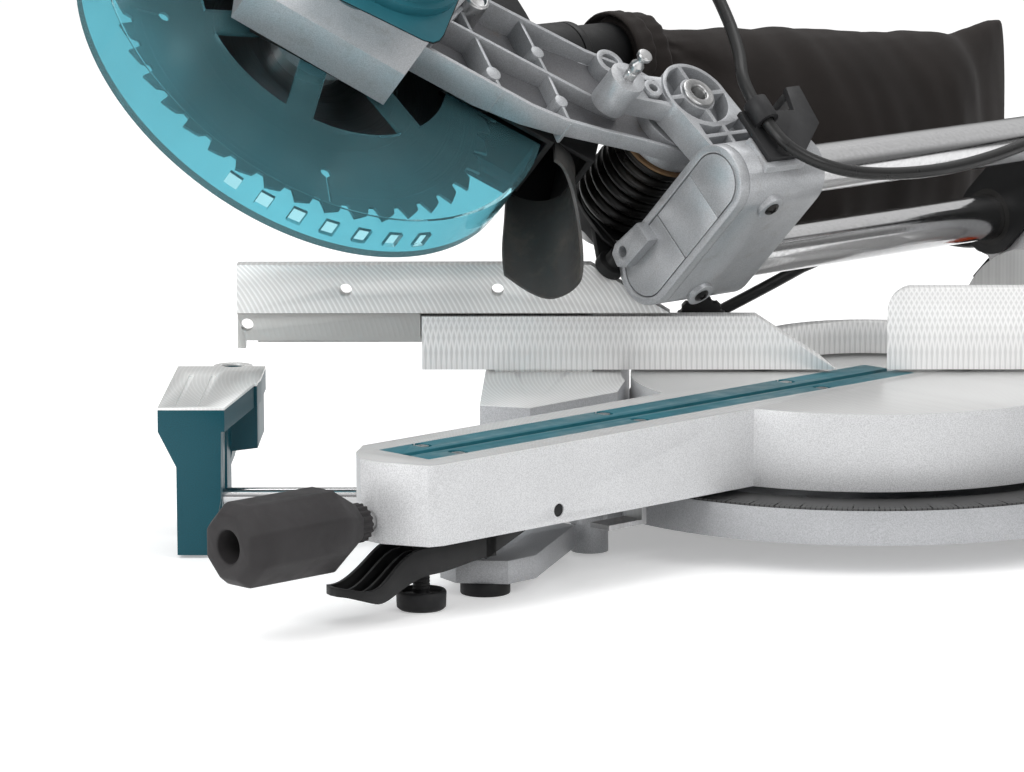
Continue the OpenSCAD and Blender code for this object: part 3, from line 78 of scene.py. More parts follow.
def makeCamera(view):
    yaw, pitch, roll = view["yaw"], view["pitch"], view["roll"]
    ahead = Vector((math.sin(yaw) * math.cos(pitch), math.cos(yaw) * math.cos(pitch), -math.sin(pitch)))
    level = Vector((math.cos(yaw), -math.sin(yaw), 0))
    above = level.cross(ahead)
    right = level * math.cos(roll) + above * math.sin(roll)
    up = above * math.cos(roll) - level * math.sin(roll)
    bpy.ops.object.camera_add(location=view["place"])
    camera = bpy.context.object
    turn = Matrix((right, up, -ahead)).transposed().to_4x4()
    camera.matrix_world = Matrix.Translation(view["place"]) @ turn
    camera.data.sensor_width = 36
    camera.data.lens = 36 * view["focalPixels"] / view["imageWide"]
    camera.data.clip_end = 60
    scene.camera = camera


makeCamera(cameraView)
print("camera set")

# the saw head leans 45 degrees to the left on a turntable turned 45 degrees to the left
headFrame = {"tableHigh": 94.0, "hingeU": 87.0, "hingeH": 173.0, "lift": math.radians(44.5)}
halfRoot = math.sqrt(0.5)
acrossHead = Vector((0.5, -0.5, halfRoot))
upHead = Vector((-0.5, 0.5, halfRoot))
alongArm = Vector((-halfRoot, -halfRoot, 0))


def headPoint(u, w, h):
    point = alongArm * u + acrossHead * w + upHead * h
    return (point + Vector((0, 0, headFrame["tableHigh"]))) / 1000


def armPoint(u, w, z):
    return Vector((halfRoot * (w - u), -halfRoot * (u + w), z)) / 1000


def liftedPoint(u, w, h):
    c, s = math.cos(headFrame["lift"]), math.sin(headFrame["lift"])
    return headPoint(headFrame["hingeU"] + c * u - s * h, w, headFrame["hingeH"] + s * u + c * h)


def deselectAll():
    if bpy.context.object and bpy.context.object.mode != "OBJECT":
        bpy.ops.object.mode_set(mode="OBJECT")
    bpy.ops.object.select_all(action="DESELECT")


def makeActive(piece):
    deselectAll()
    piece.select_set(True)
    bpy.context.view_layer.objects.active = piece


def smoothLine(points, each):
    line = []
    for i in range(len(points) - 1):
        a, b = Vector(points[i]), Vector(points[i + 1])
        before = Vector(points[i - 1]) if i else a * 2 - b
        after = Vector(points[i + 2]) if i + 2 < len(points) else b * 2 - a
        for k in range(each):
            t = k / each
            line.append(0.5 * (2 * a + (b - before) * t + (2 * before - 5 * a + 4 * b - after) * t * t
                               + (3 * a - before - 3 * b + after) * t ** 3))
    return line + [Vector(points[-1])]


def tubeAlong(name, line, radius, roundness=3):
    curve = bpy.data.curves.new(name, "CURVE")
    curve.dimensions = "3D"
    run = curve.splines.new("POLY")
    run.points.add(len(line) - 1)
    for spot, point in zip(run.points, line):
        spot.co = (*point, 1)
    curve.bevel_depth = radius
    curve.bevel_resolution = roundness
    curve.use_fill_caps = True
    tube = bpy.data.objects.new(name, curve)
    scene.collection.objects.link(tube)
    makeActive(tube)
    bpy.ops.object.convert(target="MESH")
    tube = bpy.context.object
    bpy.ops.object.shade_smooth()
    return tube


# mains lead, in four runs between its clips and one coil with the plug
leadValues = {
    "radius": 0.004,
    "head": [(165.5, 118, 330), (146, 118, 330), (120, 116, 338), (92, 113, 344), (68, 110, 338),
             (52, 107, 316), (46, 106, 286), (46, 106, 246), (54, 107, 208), (65, 108, 180), (75, 108, 162),
             (79, 108, 146), (79, 108, 134)],
    "loop": [(79, 108, 134), (79, 108, 120), (76, 109, 105), (64, 110, 91), (44, 110, 81), (18, 110, 75),
             (-14, 110, 72), (-48, 110, 72), (-82, 110, 75), (-116, 110, 80), (-148, 110, 86),
             (-180, 110, 92), (-207, 110, 95), (-225, 110, 95)],
    "rear": [(-225, 110, 95), (-242, 110, 95), (-265, 112, 91), (-284, 108, 78), (-296, 92, 64),
             (-301, 68, 56), (-303, 40, 53), (-303, 12, 53), (-302, -16, 56), (-298, -42, 66),
             (-290, -58, 84), (-282, -58, 102), (-271, -54, 114), (-260, -52, 118), (-250, -52, 118)],
    "drop": [(91.2, 261.2, 140.7), (77.6, 247.6, 140.7), (52, 236, 145), (22, 224, 146), (-8, 212, 141),
             (-36, 201, 131), (-57, 191, 121), (-74, 184, 113), (-92, 180, 104), (-110, 180, 92),
             (-128, 184, 75), (-143, 192, 55), (-155, 204, 34), (-161, 220, 17), (-163, 236, 7)],
    "splitAt": 5, "coilAt": (-105, 268), "coilRadius": 44, "loops": 3, "pitch": 8.8, "low": 4.2,
    "rings": 24}


def coilLine(v):
    steps, climbSteps = v["loops"] * v["rings"], v["rings"] // 2
    inner = v["coilRadius"] - v["pitch"] * v["loops"] / 2
    line = []
    for i in range(2 * steps + climbSteps + 1):
        turn = math.pi + 2 * math.pi * i / v["rings"]
        climb = min(1, max(0, (i - steps) / climbSteps))
        if i <= steps:
            r = inner + v["pitch"] * (steps - i) / v["rings"]
        else:
            dip = v["pitch"] / 4 * math.sin(math.pi * climb)
            r = inner - dip + v["pitch"] * max(0, i - steps - climbSteps) / v["rings"]
        line.append(Vector((v["coilAt"][0] + r * math.cos(turn), v["coilAt"][1] - r * math.sin(turn),
                            v["low"] + v["pitch"] * climb)))
    entry = line[0] - Vector((0, 8, 0))
    tail = line[-1] + (line[-1] - line[-2]).normalized() * 8
    return [entry - Vector((0, 8, 0)), entry] + line + [tail]


def layLead(v):
    runs = {}
    for name in ("head", "loop", "rear"):
        line = smoothLine([headPoint(*p) for p in v[name]], 5)
        runs[name] = (tubeAlong("lead_" + name, line, v["radius"]), line)
    fall = [Vector(p) / 1000 for p in v["drop"]]
    upper = smoothLine(fall[:v["splitAt"] + 1], 6)
    lower = smoothLine(fall[v["splitAt"]:] + [p / 1000 for p in coilLine(v)], 3)
    runs["upper"] = (tubeAlong("lead_upper", upper, v["radius"]), upper)
    runs["lower"] = (tubeAlong("lead_lower", lower, v["radius"]), lower)
    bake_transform(runs["head"][0])
    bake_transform(runs["loop"][0])
    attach(runs["rear"][0], "bevel_arm")
    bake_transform(runs["upper"][0])
    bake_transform(runs["lower"][0])
    standsFor = {"head": "cord_head", "loop": "cord_loop", "rear": "cord_rear", "upper": "cord_lead"}
    for name, node in standsFor.items():
        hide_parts(node)
    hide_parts("cord_lead", "cord_coil")
    return [piece for piece, line in runs.values()]


leadPieces = layLead(leadValues)
print("lead laid")


# materials: each helper adds nodes to one finish and gives back the socket they end in

def shaderOf(finish):
    return finish.node_tree.nodes["Principled BSDF"]


def newFinish(name, colour, rough, metal=0.0, extras=()):
    finish = bpy.data.materials.new(name)
    finish.use_nodes = True
    for socket, value in (("Base Color", (*colour, 1)), ("Roughness", rough), ("Metallic", metal), *extras):
        shaderOf(finish).inputs[socket].default_value = value
    finish.diffuse_color = (*colour, 1)
    return finish


def addNode(finish, kind, **values):
    node = finish.node_tree.nodes.new(kind)
    for name, value in values.items():
        if hasattr(node, name):
            setattr(node, name, value)
        else:
            node.inputs[name].default_value = value
    return node


def wire(finish, out, into):
    finish.node_tree.links.new(out, into)


def feed(finish, socket, out):
    wire(finish, out, shaderOf(finish).inputs[socket])


def setOrWire(finish, socket, value):
    if isinstance(value, (int, float)):
        socket.default_value = value
    elif isinstance(value, tuple):
        socket.default_value = (*value, 1)
    else:
        wire(finish, value, socket)


def objectSpot(finish):
    return addNode(finish, "ShaderNodeTexCoord").outputs["Object"]


def scaledSpot(finish, scale, turn):
    mapping = addNode(finish, "ShaderNodeMapping", Scale=scale, Rotation=turn)
    wire(finish, objectSpot(finish), mapping.inputs["Vector"])
    return mapping.outputs["Vector"]


def noiseOf(finish, scale, detail, rough=0.55, spot=None):
    cloud = addNode(finish, "ShaderNodeTexNoise", Scale=scale, Detail=detail, Roughness=rough)
    wire(finish, spot if spot else objectSpot(finish), cloud.inputs["Vector"])
    return cloud.outputs["Fac"]


def rampOf(finish, value, *stops):
    ramp = addNode(finish, "ShaderNodeValToRGB")
    while len(ramp.color_ramp.elements) < len(stops):
        ramp.color_ramp.elements.new(0.5)
    for element, (at, colour) in zip(ramp.color_ramp.elements, stops):
        element.position = at
        element.color = (*colour, 1) if hasattr(colour, "__len__") else (colour, colour, colour, 1)
    wire(finish, value, ramp.inputs["Fac"])
    return ramp.outputs["Color"]


def patchy(finish, scale, detail, *stops, rough=0.55):
    return rampOf(finish, noiseOf(finish, scale, detail, rough), *stops)


def mathOf(finish, operation, *values):
    node = addNode(finish, "ShaderNodeMath", operation=operation)
    for socket, value in zip(node.inputs, values):
        setOrWire(finish, socket, value)
    return node.outputs[0]


def mixColour(finish, share, a, b, way="MIX"):
    mix = addNode(finish, "ShaderNodeMix", data_type="RGBA", blend_type=way)
    for number, value in ((0, share), (6, a), (7, b)):   # the colour sockets among the node's many
        setOrWire(finish, mix.inputs[number], value)
    return mix.outputs[2]


def tinted(finish, a, b):
    return mixColour(finish, 1.0, a, b, "MULTIPLY")


def bumpFrom(finish, height, strength, distance):
    bump = addNode(finish, "ShaderNodeBump", Strength=strength, Distance=distance)
    wire(finish, height, bump.inputs["Height"])
    before = shaderOf(finish).inputs["Normal"].links
    if before:
        wire(finish, before[0].from_socket, bump.inputs["Normal"])
    feed(finish, "Normal", bump.outputs["Normal"])


def splitSpot(finish, spot=None):
    split = addNode(finish, "ShaderNodeSeparateXYZ")
    wire(finish, spot if spot else objectSpot(finish), split.inputs[0])
    return split.outputs


def radiusOf(finish, x, y):
    squares = [mathOf(finish, "MULTIPLY", side, side) for side in (x, y)]
    return mathOf(finish, "SQRT", mathOf(finish, "ADD", *squares))


def waveOf(finish, value, period):
    return mathOf(finish, "SINE", mathOf(finish, "MULTIPLY", value, 2 * math.pi / period))


def raisedWave(finish, wave):
    return mathOf(finish, "MULTIPLY_ADD", wave, 0.5, 0.5)


def maskAbove(finish, value, edge, soft=0.0004):
    clamp = addNode(finish, "ShaderNodeClamp")
    wire(finish, mathOf(finish, "MULTIPLY_ADD", value, 1 / soft, 0.5 - edge / soft), clamp.inputs[0])
    return clamp.outputs[0]


millValues = {"disc": {"radius": 0.62, "centre": 0.0, "period": 0.0044}, "ringPeriod": 0.0016,
              "block": {"radius": 0.3, "centre": 0.0, "period": 0.0026}, "blockShares": (1.0, 0.2),
              "fence": {"radius": 0.088, "centre": 0.097, "period": 0.0033},
              "strip": (0.6, 0.6, 0.585), "stepLine": (0.13, 0.12, 0.115), "stepHigh": 0.0011}


# thin bright arcs that a face mill leaves, on a plane of two coordinates, a share for each way it leans
def millArcs(finish, along, over, shares, radius, centre, period):
    rise = mathOf(finish, "SUBTRACT", over, centre)
    square = mathOf(finish, "SUBTRACT", radius * radius, mathOf(finish, "MULTIPLY", rise, rise))
    chord = mathOf(finish, "SQRT", square)
    lines = []
    for sign, share in zip((1, -1), shares):
        wave = waveOf(finish, mathOf(finish, "MULTIPLY_ADD", chord, sign, along), period)
        crest = mathOf(finish, "POWER", raisedWave(finish, wave), 2.0)
        lines.append(mathOf(finish, "MULTIPLY", crest, share))
    return mathOf(finish, "MAXIMUM", *lines)


paintValues = {"sparkleScale": 1500, "peelScale": 700, "cloudScale": 22, "grimeScale": 60,
               "grime": (0.16, 0.12, 0.08)}


def castPaint(name, colour, rough=0.4, metal=0.18, grime=0.0):
    v = paintValues
    finish = newFinish(name, colour, rough, metal)
    sparkle = patchy(finish, v["sparkleScale"], 1.5, (0.36, 0.84), (0.62, 1.1))
    cloud = patchy(finish, v["cloudScale"], 4, (0.3, 0.96), (0.7, 1.03))
    tint = tinted(finish, tinted(finish, colour, sparkle), cloud)
    if grime:
        dust = patchy(finish, v["grimeScale"], 6, (0.56, 0.0), (0.78, grime), rough=0.7)
        tint = mixColour(finish, dust, tint, v["grime"])
    feed(finish, "Base Color", tint)
    feed(finish, "Roughness", patchy(finish, 90, 5, (0.3, rough - 0.06), (0.7, rough + 0.1)))
    bumpFrom(finish, noiseOf(finish, v["peelScale"], 2), 0.10, 0.0003)
    return finish, tint


def castWithMachinedTop(name, colour, topColour, plane, edge, metal=0.18):
    v = millValues
    finish, tint = castPaint(name, colour, metal=metal)
    shaderOf(finish).inputs["Specular IOR Level"].default_value = 0.35
    x, y, z = splitSpot(finish)
    top = maskAbove(finish, z, edge)
    if plane == "disc":
        rings = raisedWave(finish, waveOf(finish, radiusOf(finish, x, y), v["ringPeriod"]))
        along, over = [mathOf(finish, way, x, y) for way in ("SUBTRACT", "ADD")]
        arcs = millArcs(finish, along, over, (1.0, 1.0), **v["disc"])
        marks = mathOf(finish, "MULTIPLY", mathOf(finish, "ADD", rings, arcs), 0.5)
    else:
        marks = millArcs(finish, x, y, v["blockShares"], **v["block"])
    streak = rampOf(finish, marks, (0.1, 0.96 if plane == "block" else 0.9), (0.9, 1.05))
    feed(finish, "Base Color", mixColour(finish, top, tint, tinted(finish, topColour, streak)))
    feed(finish, "Metallic", mathOf(finish, "MULTIPLY_ADD", top, 0.2, metal))
    feed(finish, "Roughness", mathOf(finish, "MULTIPLY_ADD", top, -0.14, 0.4))
    bumpFrom(finish, mathOf(finish, "MULTIPLY", marks, top), 0.14, 0.0004)
    return finish


# below a tongue's height, where one is given, the face is a plain rolled strip with a painted shadow line at
# its step
def machinedFence(name, colour, shares, tongue=None):
    v = millValues
    finish = newFinish(name, colour, 0.36, 0.2)
    x, y, z = splitSpot(finish)
    arcs = millArcs(finish, x, z, shares, **v["fence"])
    tone = tinted(finish, colour, rampOf(finish, arcs, (0.1, 0.82), (0.45, 0.92), (0.95, 1.06)))
    if tongue:
        below = mathOf(finish, "SUBTRACT", 1.0, maskAbove(finish, z, tongue))
        # painted shadow: a dark band just under the tongue's height, where the plate steps back to the strip
        line = mathOf(finish, "MULTIPLY", below, maskAbove(finish, z, tongue - v["stepHigh"]))
        tone = mixColour(finish, line, mixColour(finish, below, tone, v["strip"]), v["stepLine"])
    cloud = patchy(finish, 14, 4, (0.3, 0.95), (0.7, 1.03))
    feed(finish, "Base Color", tinted(finish, tone, cloud))
    feed(finish, "Roughness", rampOf(finish, arcs, (0.1, 0.46), (0.9, 0.3)))
    bumpFrom(finish, arcs, 0.12, 0.0004)
    return finish


scuffValues = {"stretch": (900, 60, 300), "turn": (0.3, 0.5, 0.8), "colour": (0.35, 0.36, 0.36)}


def mouldedPlastic(name, colour, rough=0.52, grain=1300, depth=0.16, scuff=0.0):
    v = scuffValues
    finish = newFinish(name, colour, rough, 0.0, [("Specular IOR Level", 0.32)])
    tint = tinted(finish, colour, patchy(finish, 30, 5, (0.3, 0.86), (0.72, 1.14)))
    if scuff:
        streaks = noiseOf(finish, 1.0, 5, 0.7, scaledSpot(finish, v["stretch"], v["turn"]))
        tint = mixColour(finish, rampOf(finish, streaks, (0.62, 0.0), (0.8, scuff)), tint, v["colour"])
    feed(finish, "Base Color", tint)
    feed(finish, "Roughness", patchy(finish, 70, 4, (0.3, rough - 0.08), (0.7, rough + 0.1)))
    bumpFrom(finish, noiseOf(finish, grain, 2.5), depth, 0.0003)
    return finish


def brushedMetal(name, colour, rough, stretch, streak=0.14, turn=0.0):
    finish = newFinish(name, colour, rough, 1.0)
    lines = noiseOf(finish, 1.0, 4, 0.6, scaledSpot(finish, stretch, (0, 0, turn)))
    shade = rampOf(finish, lines, (0.3, 1 - streak), (0.7, 1 + streak))
    feed(finish, "Base Color", tinted(finish, colour, shade))
    feed(finish, "Roughness", rampOf(finish, lines, (0.25, rough + 0.1), (0.75, rough - 0.06)))
    bumpFrom(finish, lines, 0.05, 0.0002)
    return finish


bladeValues = {"centre": (-0.35056, -0.05698, 0.30159), "plate": (0.24, 0.245, 0.25),
               "flange": (0.42, 0.42, 0.42), "ringsPerMetre": 900}


def turnedSteel(name, colour, v):
    finish = newFinish(name, colour, 0.3, 0.9)
    ways = ("SUBTRACT", "DOT_PRODUCT", "LENGTH")
    away, off, far = [addNode(finish, "ShaderNodeVectorMath", operation=way) for way in ways]
    away.inputs[1].default_value = v["centre"]
    off.inputs[1].default_value = acrossHead
    wire(finish, objectSpot(finish), away.inputs[0])
    for node in (off, far):
        wire(finish, away.outputs[0], node.inputs[0])
    squares = [mathOf(finish, "POWER", node.outputs["Value"], 2.0) for node in (far, off)]
    r = mathOf(finish, "SQRT", mathOf(finish, "ABSOLUTE", mathOf(finish, "SUBTRACT", *squares)))
    ring = addNode(finish, "ShaderNodeCombineXYZ")
    wire(finish, mathOf(finish, "MULTIPLY", r, v["ringsPerMetre"]), ring.inputs[0])
    lines = noiseOf(finish, 1.0, 5, 0.65, ring.outputs[0])
    smear = patchy(finish, 9, 3, (0.35, 0.72), (0.65, 1.15))
    tone = tinted(finish, colour, rampOf(finish, lines, (0.3, 0.7), (0.7, 1.2)))
    feed(finish, "Base Color", tinted(finish, tone, smear))
    feed(finish, "Roughness", rampOf(finish, lines, (0.3, 0.4), (0.7, 0.24)))
    bumpFrom(finish, lines, 0.06, 0.0002)
    return finish


def clearGuard(name, colour):
    finish = newFinish(name, colour, 0.06, 0.0, [("Transmission Weight", 0.93), ("IOR", 1.12)])
    deep = tuple(c * 0.93 for c in colour)
    feed(finish, "Roughness", patchy(finish, 40, 5, (0.4, 0.02), (0.8, 0.07)))
    feed(finish, "Base Color", patchy(finish, 12, 3, (0.3, deep), (0.7, colour)))
    return finish


def dustyRubber(name, colour, rough, dust):
    finish = newFinish(name, colour, rough, 0.0, [("Specular IOR Level", 0.3)])
    film = patchy(finish, 45, 6, (0.5, 0.0), (0.85, dust), rough=0.7)
    feed(finish, "Base Color", mixColour(finish, film, colour, (0.3, 0.25, 0.19)))
    feed(finish, "Roughness", patchy(finish, 120, 3, (0.3, rough - 0.1), (0.7, rough + 0.12)))
    bumpFrom(finish, noiseOf(finish, 900, 3), 0.12, 0.0003)
    return finish


clothValues = {"turn": math.radians(-45), "threadPeriod": 0.0011,
               "sheen": [("Sheen Weight", 0.06), ("Sheen Roughness", 0.5), ("Specular IOR Level", 0.2)]}


def wovenCloth(name, colour, v):
    finish = newFinish(name, colour, 0.9, 0.0, v["sheen"])
    x, y, z = splitSpot(finish, scaledSpot(finish, (1, 1, 1), (0, 0, v["turn"])))
    threads = [waveOf(finish, axis, v["threadPeriod"]) for axis in (x, z)]
    weave = raisedWave(finish, mathOf(finish, "MULTIPLY", *threads))
    tone = tinted(finish, colour, rampOf(finish, weave, (0.1, 0.72), (0.9, 1.2)))
    fade = patchy(finish, 11, 5, (0.3, 0.8), (0.7, 1.22))
    feed(finish, "Base Color", tinted(finish, tone, fade))
    bumpFrom(finish, weave, 0.35, 0.0004)
    return finish


tickValues = [  # degrees apart, degrees wide, inner radius
    (1, 0.22, 0.1775), (5, 0.34, 0.170)]


# etched plate with a tick for each degree and a longer one at every fifth
def scalePlate(name, colour, rows):
    finish = newFinish(name, colour, 0.42, 0.6)
    x, y, z = splitSpot(finish)
    r = radiusOf(finish, x, y)
    turn = mathOf(finish, "MULTIPLY", mathOf(finish, "ARCTAN2", x, y), 180 / math.pi)
    bands = []
    for step, wide, inner in rows:
        line = mathOf(finish, "LESS_THAN", mathOf(finish, "PINGPONG", turn, step / 2), wide / 2)
        bands.append(mathOf(finish, "MULTIPLY", line, mathOf(finish, "GREATER_THAN", r, inner)))
    ticks = mathOf(finish, "MAXIMUM", *bands)
    base = tinted(finish, colour, patchy(finish, 50, 5, (0.3, 0.8), (0.7, 1.1)))
    feed(finish, "Base Color", mixColour(finish, ticks, base, (0.02, 0.02, 0.02)))
    return finish


finishes = {
    "cast_silver": castPaint("silver_paint", (0.60, 0.605, 0.615))[0],
    "cast_head": castPaint("silver_paint_head", (0.43, 0.44, 0.455), rough=0.36, metal=0.45, grime=0.3)[0],
    "machined": machinedFence("milled_fence", (0.97, 0.97, 0.965), (1.0, 1.0)),
    "teal_paint": castWithMachinedTop("teal_casting", (0.0, 0.066, 0.091), (0.97, 0.965, 0.95), "block",
                                      0.0925, metal=0.0),
    "teal_plastic": mouldedPlastic("teal_plastic", (0.018, 0.13, 0.166), 0.38, 1500, 0.08, scuff=0.10),
    "black_plastic": mouldedPlastic("black_plastic", (0.0085, 0.0085, 0.009), 0.48, 1200, 0.2),
    "grey_plastic": mouldedPlastic("grey_plastic", (0.06, 0.06, 0.062), 0.55),
    "orange_plastic": mouldedPlastic("orange_plastic", (0.75, 0.09, 0.015), 0.38, 1200, 0.05),
    "bush_plastic": mouldedPlastic("bush_plastic", (0.02, 0.019, 0.018), 0.5),
    "clear_guard": clearGuard("clear_guard", (0.36, 0.70, 0.77)),
    "chrome": brushedMetal("polished_rail", (0.62, 0.62, 0.625), 0.14, (8, 500, 500), 0.06,
                           math.radians(-45)),
    "steel": brushedMetal("plated_steel", (0.5, 0.5, 0.5), 0.3, (500, 500, 60)),
    "spring_steel": dustyRubber("spring_steel", (0.005, 0.0045, 0.004), 0.34, 0.07),
    "windings": brushedMetal("copper_wire", (0.42, 0.18, 0.07), 0.35, (700, 700, 80)),
    "rubber": dustyRubber("dusty_rubber", (0.011, 0.011, 0.012), 0.55, 0.07),
    "bag_cloth": wovenCloth("bag_cloth", (0.019, 0.0152, 0.0138), clothValues),
}
nodeFinishes = {
    "turntable": castWithMachinedTop("table_casting", (0.66, 0.665, 0.675), (0.66, 0.66, 0.655), "disc",
                                     0.0938),
    "base_casting": castWithMachinedTop("base_paint", (0.44, 0.447, 0.462), (0.90, 0.90, 0.895), "wing",
                                        0.0938),
    "upper_fence": machinedFence("milled_upper_fence", (0.98, 0.98, 0.97), (0.12, 1.0), 0.1322),
    "cord_bracket": mouldedPlastic("bracket_plastic", (0.014, 0.014, 0.015), 0.5, 1200, 0.14),
    "blade": turnedSteel("blade_steel", bladeValues["plate"], bladeValues),
    "blade_flanges": turnedSteel("flange_steel", bladeValues["flange"], bladeValues),
    "mitre_scale": scalePlate("scale_plate", (0.085, 0.085, 0.085), tickValues),
    "mitre_grip": mouldedPlastic("grip_plastic", (0.026, 0.024, 0.025), 0.6, 1000, 0.22),
    "plug": mouldedPlastic("plug_plastic", (0.015, 0.015, 0.015), 0.5),
    "dust_flap": dustyRubber("flap_rubber", (0.05, 0.05, 0.049), 0.42, 0.2),
}
leadFinish = mouldedPlastic("lead_sheath", (0.016, 0.016, 0.016), 0.32, 900, 0.05)
# dark finish for the head arm's pocket floors: painted shade for their depth, with grime patches on it
webShadeFinish = castPaint("grimy_web", (0.16, 0.16, 0.168), rough=0.5, metal=0.2, grime=0.6)[0]
rustFinish = dustyRubber("rusty_washer", (0.20, 0.12, 0.06), 0.6, 0.5)


def finishFor(node):
    return nodeFinishes.get(node) or finishes[slotOf[node]]


for name, node in nodes.items():
    node.data.materials.clear()
    node.data.materials.append(finishFor(name))
for piece in leadPieces:
    piece.data.materials.append(leadFinish)
print("finishes on", len(nodes), "nodes")

# how pieces are shaped: millimetres in a local frame, then set in their place on the saw

def localFrame(across, up, ahead, origin):
    place = Matrix((across, up, ahead)).transposed().to_4x4()
    place.translation = origin
    return place


hingeSpot = liftedPoint(0, 0, 0)
liftedFrame = localFrame(hingeSpot - liftedPoint(1000, 0, 0), liftedPoint(0, 0, 1000) - hingeSpot,
                         acrossHead, hingeSpot)
carriageFrame = localFrame(-alongArm, upHead, acrossHead, headPoint(0, 0, 0))  # x is minus u, y is h, z is w
frontFrame = localFrame(acrossHead, upHead, alongArm, headPoint(0, 0, 0))       # x is w, y is h, z is u
underFrame = localFrame(acrossHead, alongArm, -upHead, headPoint(0, 0, 0))     # x is w, y is u, z is minus h
tableFrame = localFrame(armPoint(0, 1000, 0), armPoint(-1000, 0, 0), Vector((0, 0, 1)), Vector())
noseFrame = localFrame(armPoint(0, 1000, 0), Vector((0, 0, 1)), alongArm, Vector())  # x is w, y is z, z is u
sideFrame = localFrame(Vector((0, 1, 0)), Vector((0, 0, 1)), Vector((1, 0, 0)), Vector())


def moved(x, y, z):
    return Matrix.Translation(Vector((x, y, z)) / 1000)


def nameNew(name):
    piece = bpy.context.object
    piece.name = name
    return piece


def newRing(name, count, fill, radius=0.01):
    deselectAll()
    bpy.ops.mesh.primitive_circle_add(vertices=count, radius=radius, fill_type=fill, location=(0, 0, 0))
    return nameNew(name)


def newGrid(name, columns, rows):
    deselectAll()
    bpy.ops.mesh.primitive_grid_add(x_subdivisions=columns, y_subdivisions=rows, size=2, location=(0, 0, 0))
    return nameNew(name)


def editAll(piece):
    makeActive(piece)
    bpy.ops.object.mode_set(mode="EDIT")
    bpy.ops.mesh.select_all(action="SELECT")


def raiseAll(piece, high):
    editAll(piece)
    bpy.ops.mesh.extrude_region_move(TRANSFORM_OT_translate={"value": (0, 0, high / 1000)})
    return tidyShell(piece)


def tidyShell(piece):
    editAll(piece)
    bpy.ops.mesh.remove_doubles(threshold=0.000002)
    bpy.ops.mesh.delete_loose()
    bpy.ops.mesh.select_all(action="SELECT")
    bpy.ops.mesh.normals_make_consistent(inside=False)
    bpy.ops.object.mode_set(mode="OBJECT")
    return piece


def plateFrom(name, outline, low, high):
    piece = newRing(name, len(outline), "NGON")
    for corner, (x, y) in zip(piece.data.vertices, outline):
        corner.co = (x / 1000, y / 1000, low / 1000)
    return raiseAll(piece, high - low)


def spunPiece(name, profile, steps=40):
    piece = newRing(name, len(profile), "NOTHING")
    for corner, (r, z) in zip(piece.data.vertices, profile):
        corner.co = (r / 1000, 0, z / 1000)
    editAll(piece)
    bpy.ops.mesh.spin(steps=steps, angle=2 * math.pi, center=(0, 0, 0), axis=(0, 0, 1))
    return tidyShell(piece)


def pickFaces(piece, test):
    makeActive(piece)
    bpy.ops.object.mode_set(mode="EDIT")
    bpy.ops.mesh.select_mode(type="FACE")
    bpy.ops.mesh.select_all(action="DESELECT")
    shell = bmesh.from_edit_mesh(piece.data)
    for face in shell.faces:
        if test(face.calc_center_median() * 1000, face.normal):
            face.select_set(True)
    bmesh.update_edit_mesh(piece.data)


def sinkFaces(piece, test, rim, depth):
    pickFaces(piece, test)
    bpy.ops.mesh.inset(thickness=rim / 1000, depth=0)
    bpy.ops.mesh.extrude_region_move(TRANSFORM_OT_translate={"value": (0, 0, -depth / 1000)})
    bpy.ops.object.mode_set(mode="OBJECT")


def barOutline(a, b, thick):
    a, b = Vector(a), Vector(b)
    side = (b - a).normalized().orthogonal() * thick / 2
    return [a + side, b + side, b - side, a - side]


def smoothFlats(degrees=34):
    bpy.ops.object.shade_smooth_by_angle(angle=math.radians(degrees))


def addWall(piece, thick, offset=0):
    makeActive(piece)
    wall = piece.modifiers.new("wall", "SOLIDIFY")
    wall.thickness = thick / 1000
    wall.offset = offset
    bpy.ops.object.modifier_apply(modifier="wall")


def roundEdges(piece, width, steps=2):
    makeActive(piece)
    bevel = piece.modifiers.new("edges", "BEVEL")
    bevel.width = width / 1000
    bevel.segments = steps
    bevel.limit_method = "ANGLE"
    bevel.angle_limit = math.radians(32)
    bevel.use_clamp_overlap = True
    bpy.ops.object.modifier_apply(modifier="edges")
    smoothFlats()
    return piece


def joinPieces(pieces):
    deselectAll()
    for piece in pieces:
        piece.select_set(True)
    bpy.context.view_layer.objects.active = pieces[0]
    bpy.ops.object.join()
    return pieces[0]


def cutAway(piece, cutters):
    makeActive(piece)
    for cutter in cutters:
        cut = piece.modifiers.new("cut", "BOOLEAN")
        cut.operation = "DIFFERENCE"
        cut.solver = "EXACT"
        cut.object = cutter
        bpy.ops.object.modifier_apply(modifier="cut")
        bpy.data.objects.remove(cutter)


def setIn(piece, place):
    piece.data.transform(place)
    piece.data.update()
    return piece


def dressPiece(piece, place, body, slot, *standsFor, finish=None):
    if place is not None:
        setIn(piece, place)
    piece.data.materials.clear()
    piece.data.materials.append(finish or finishes[slot])
    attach(piece, body)
    if standsFor:
        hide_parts(*standsFor)
    return piece


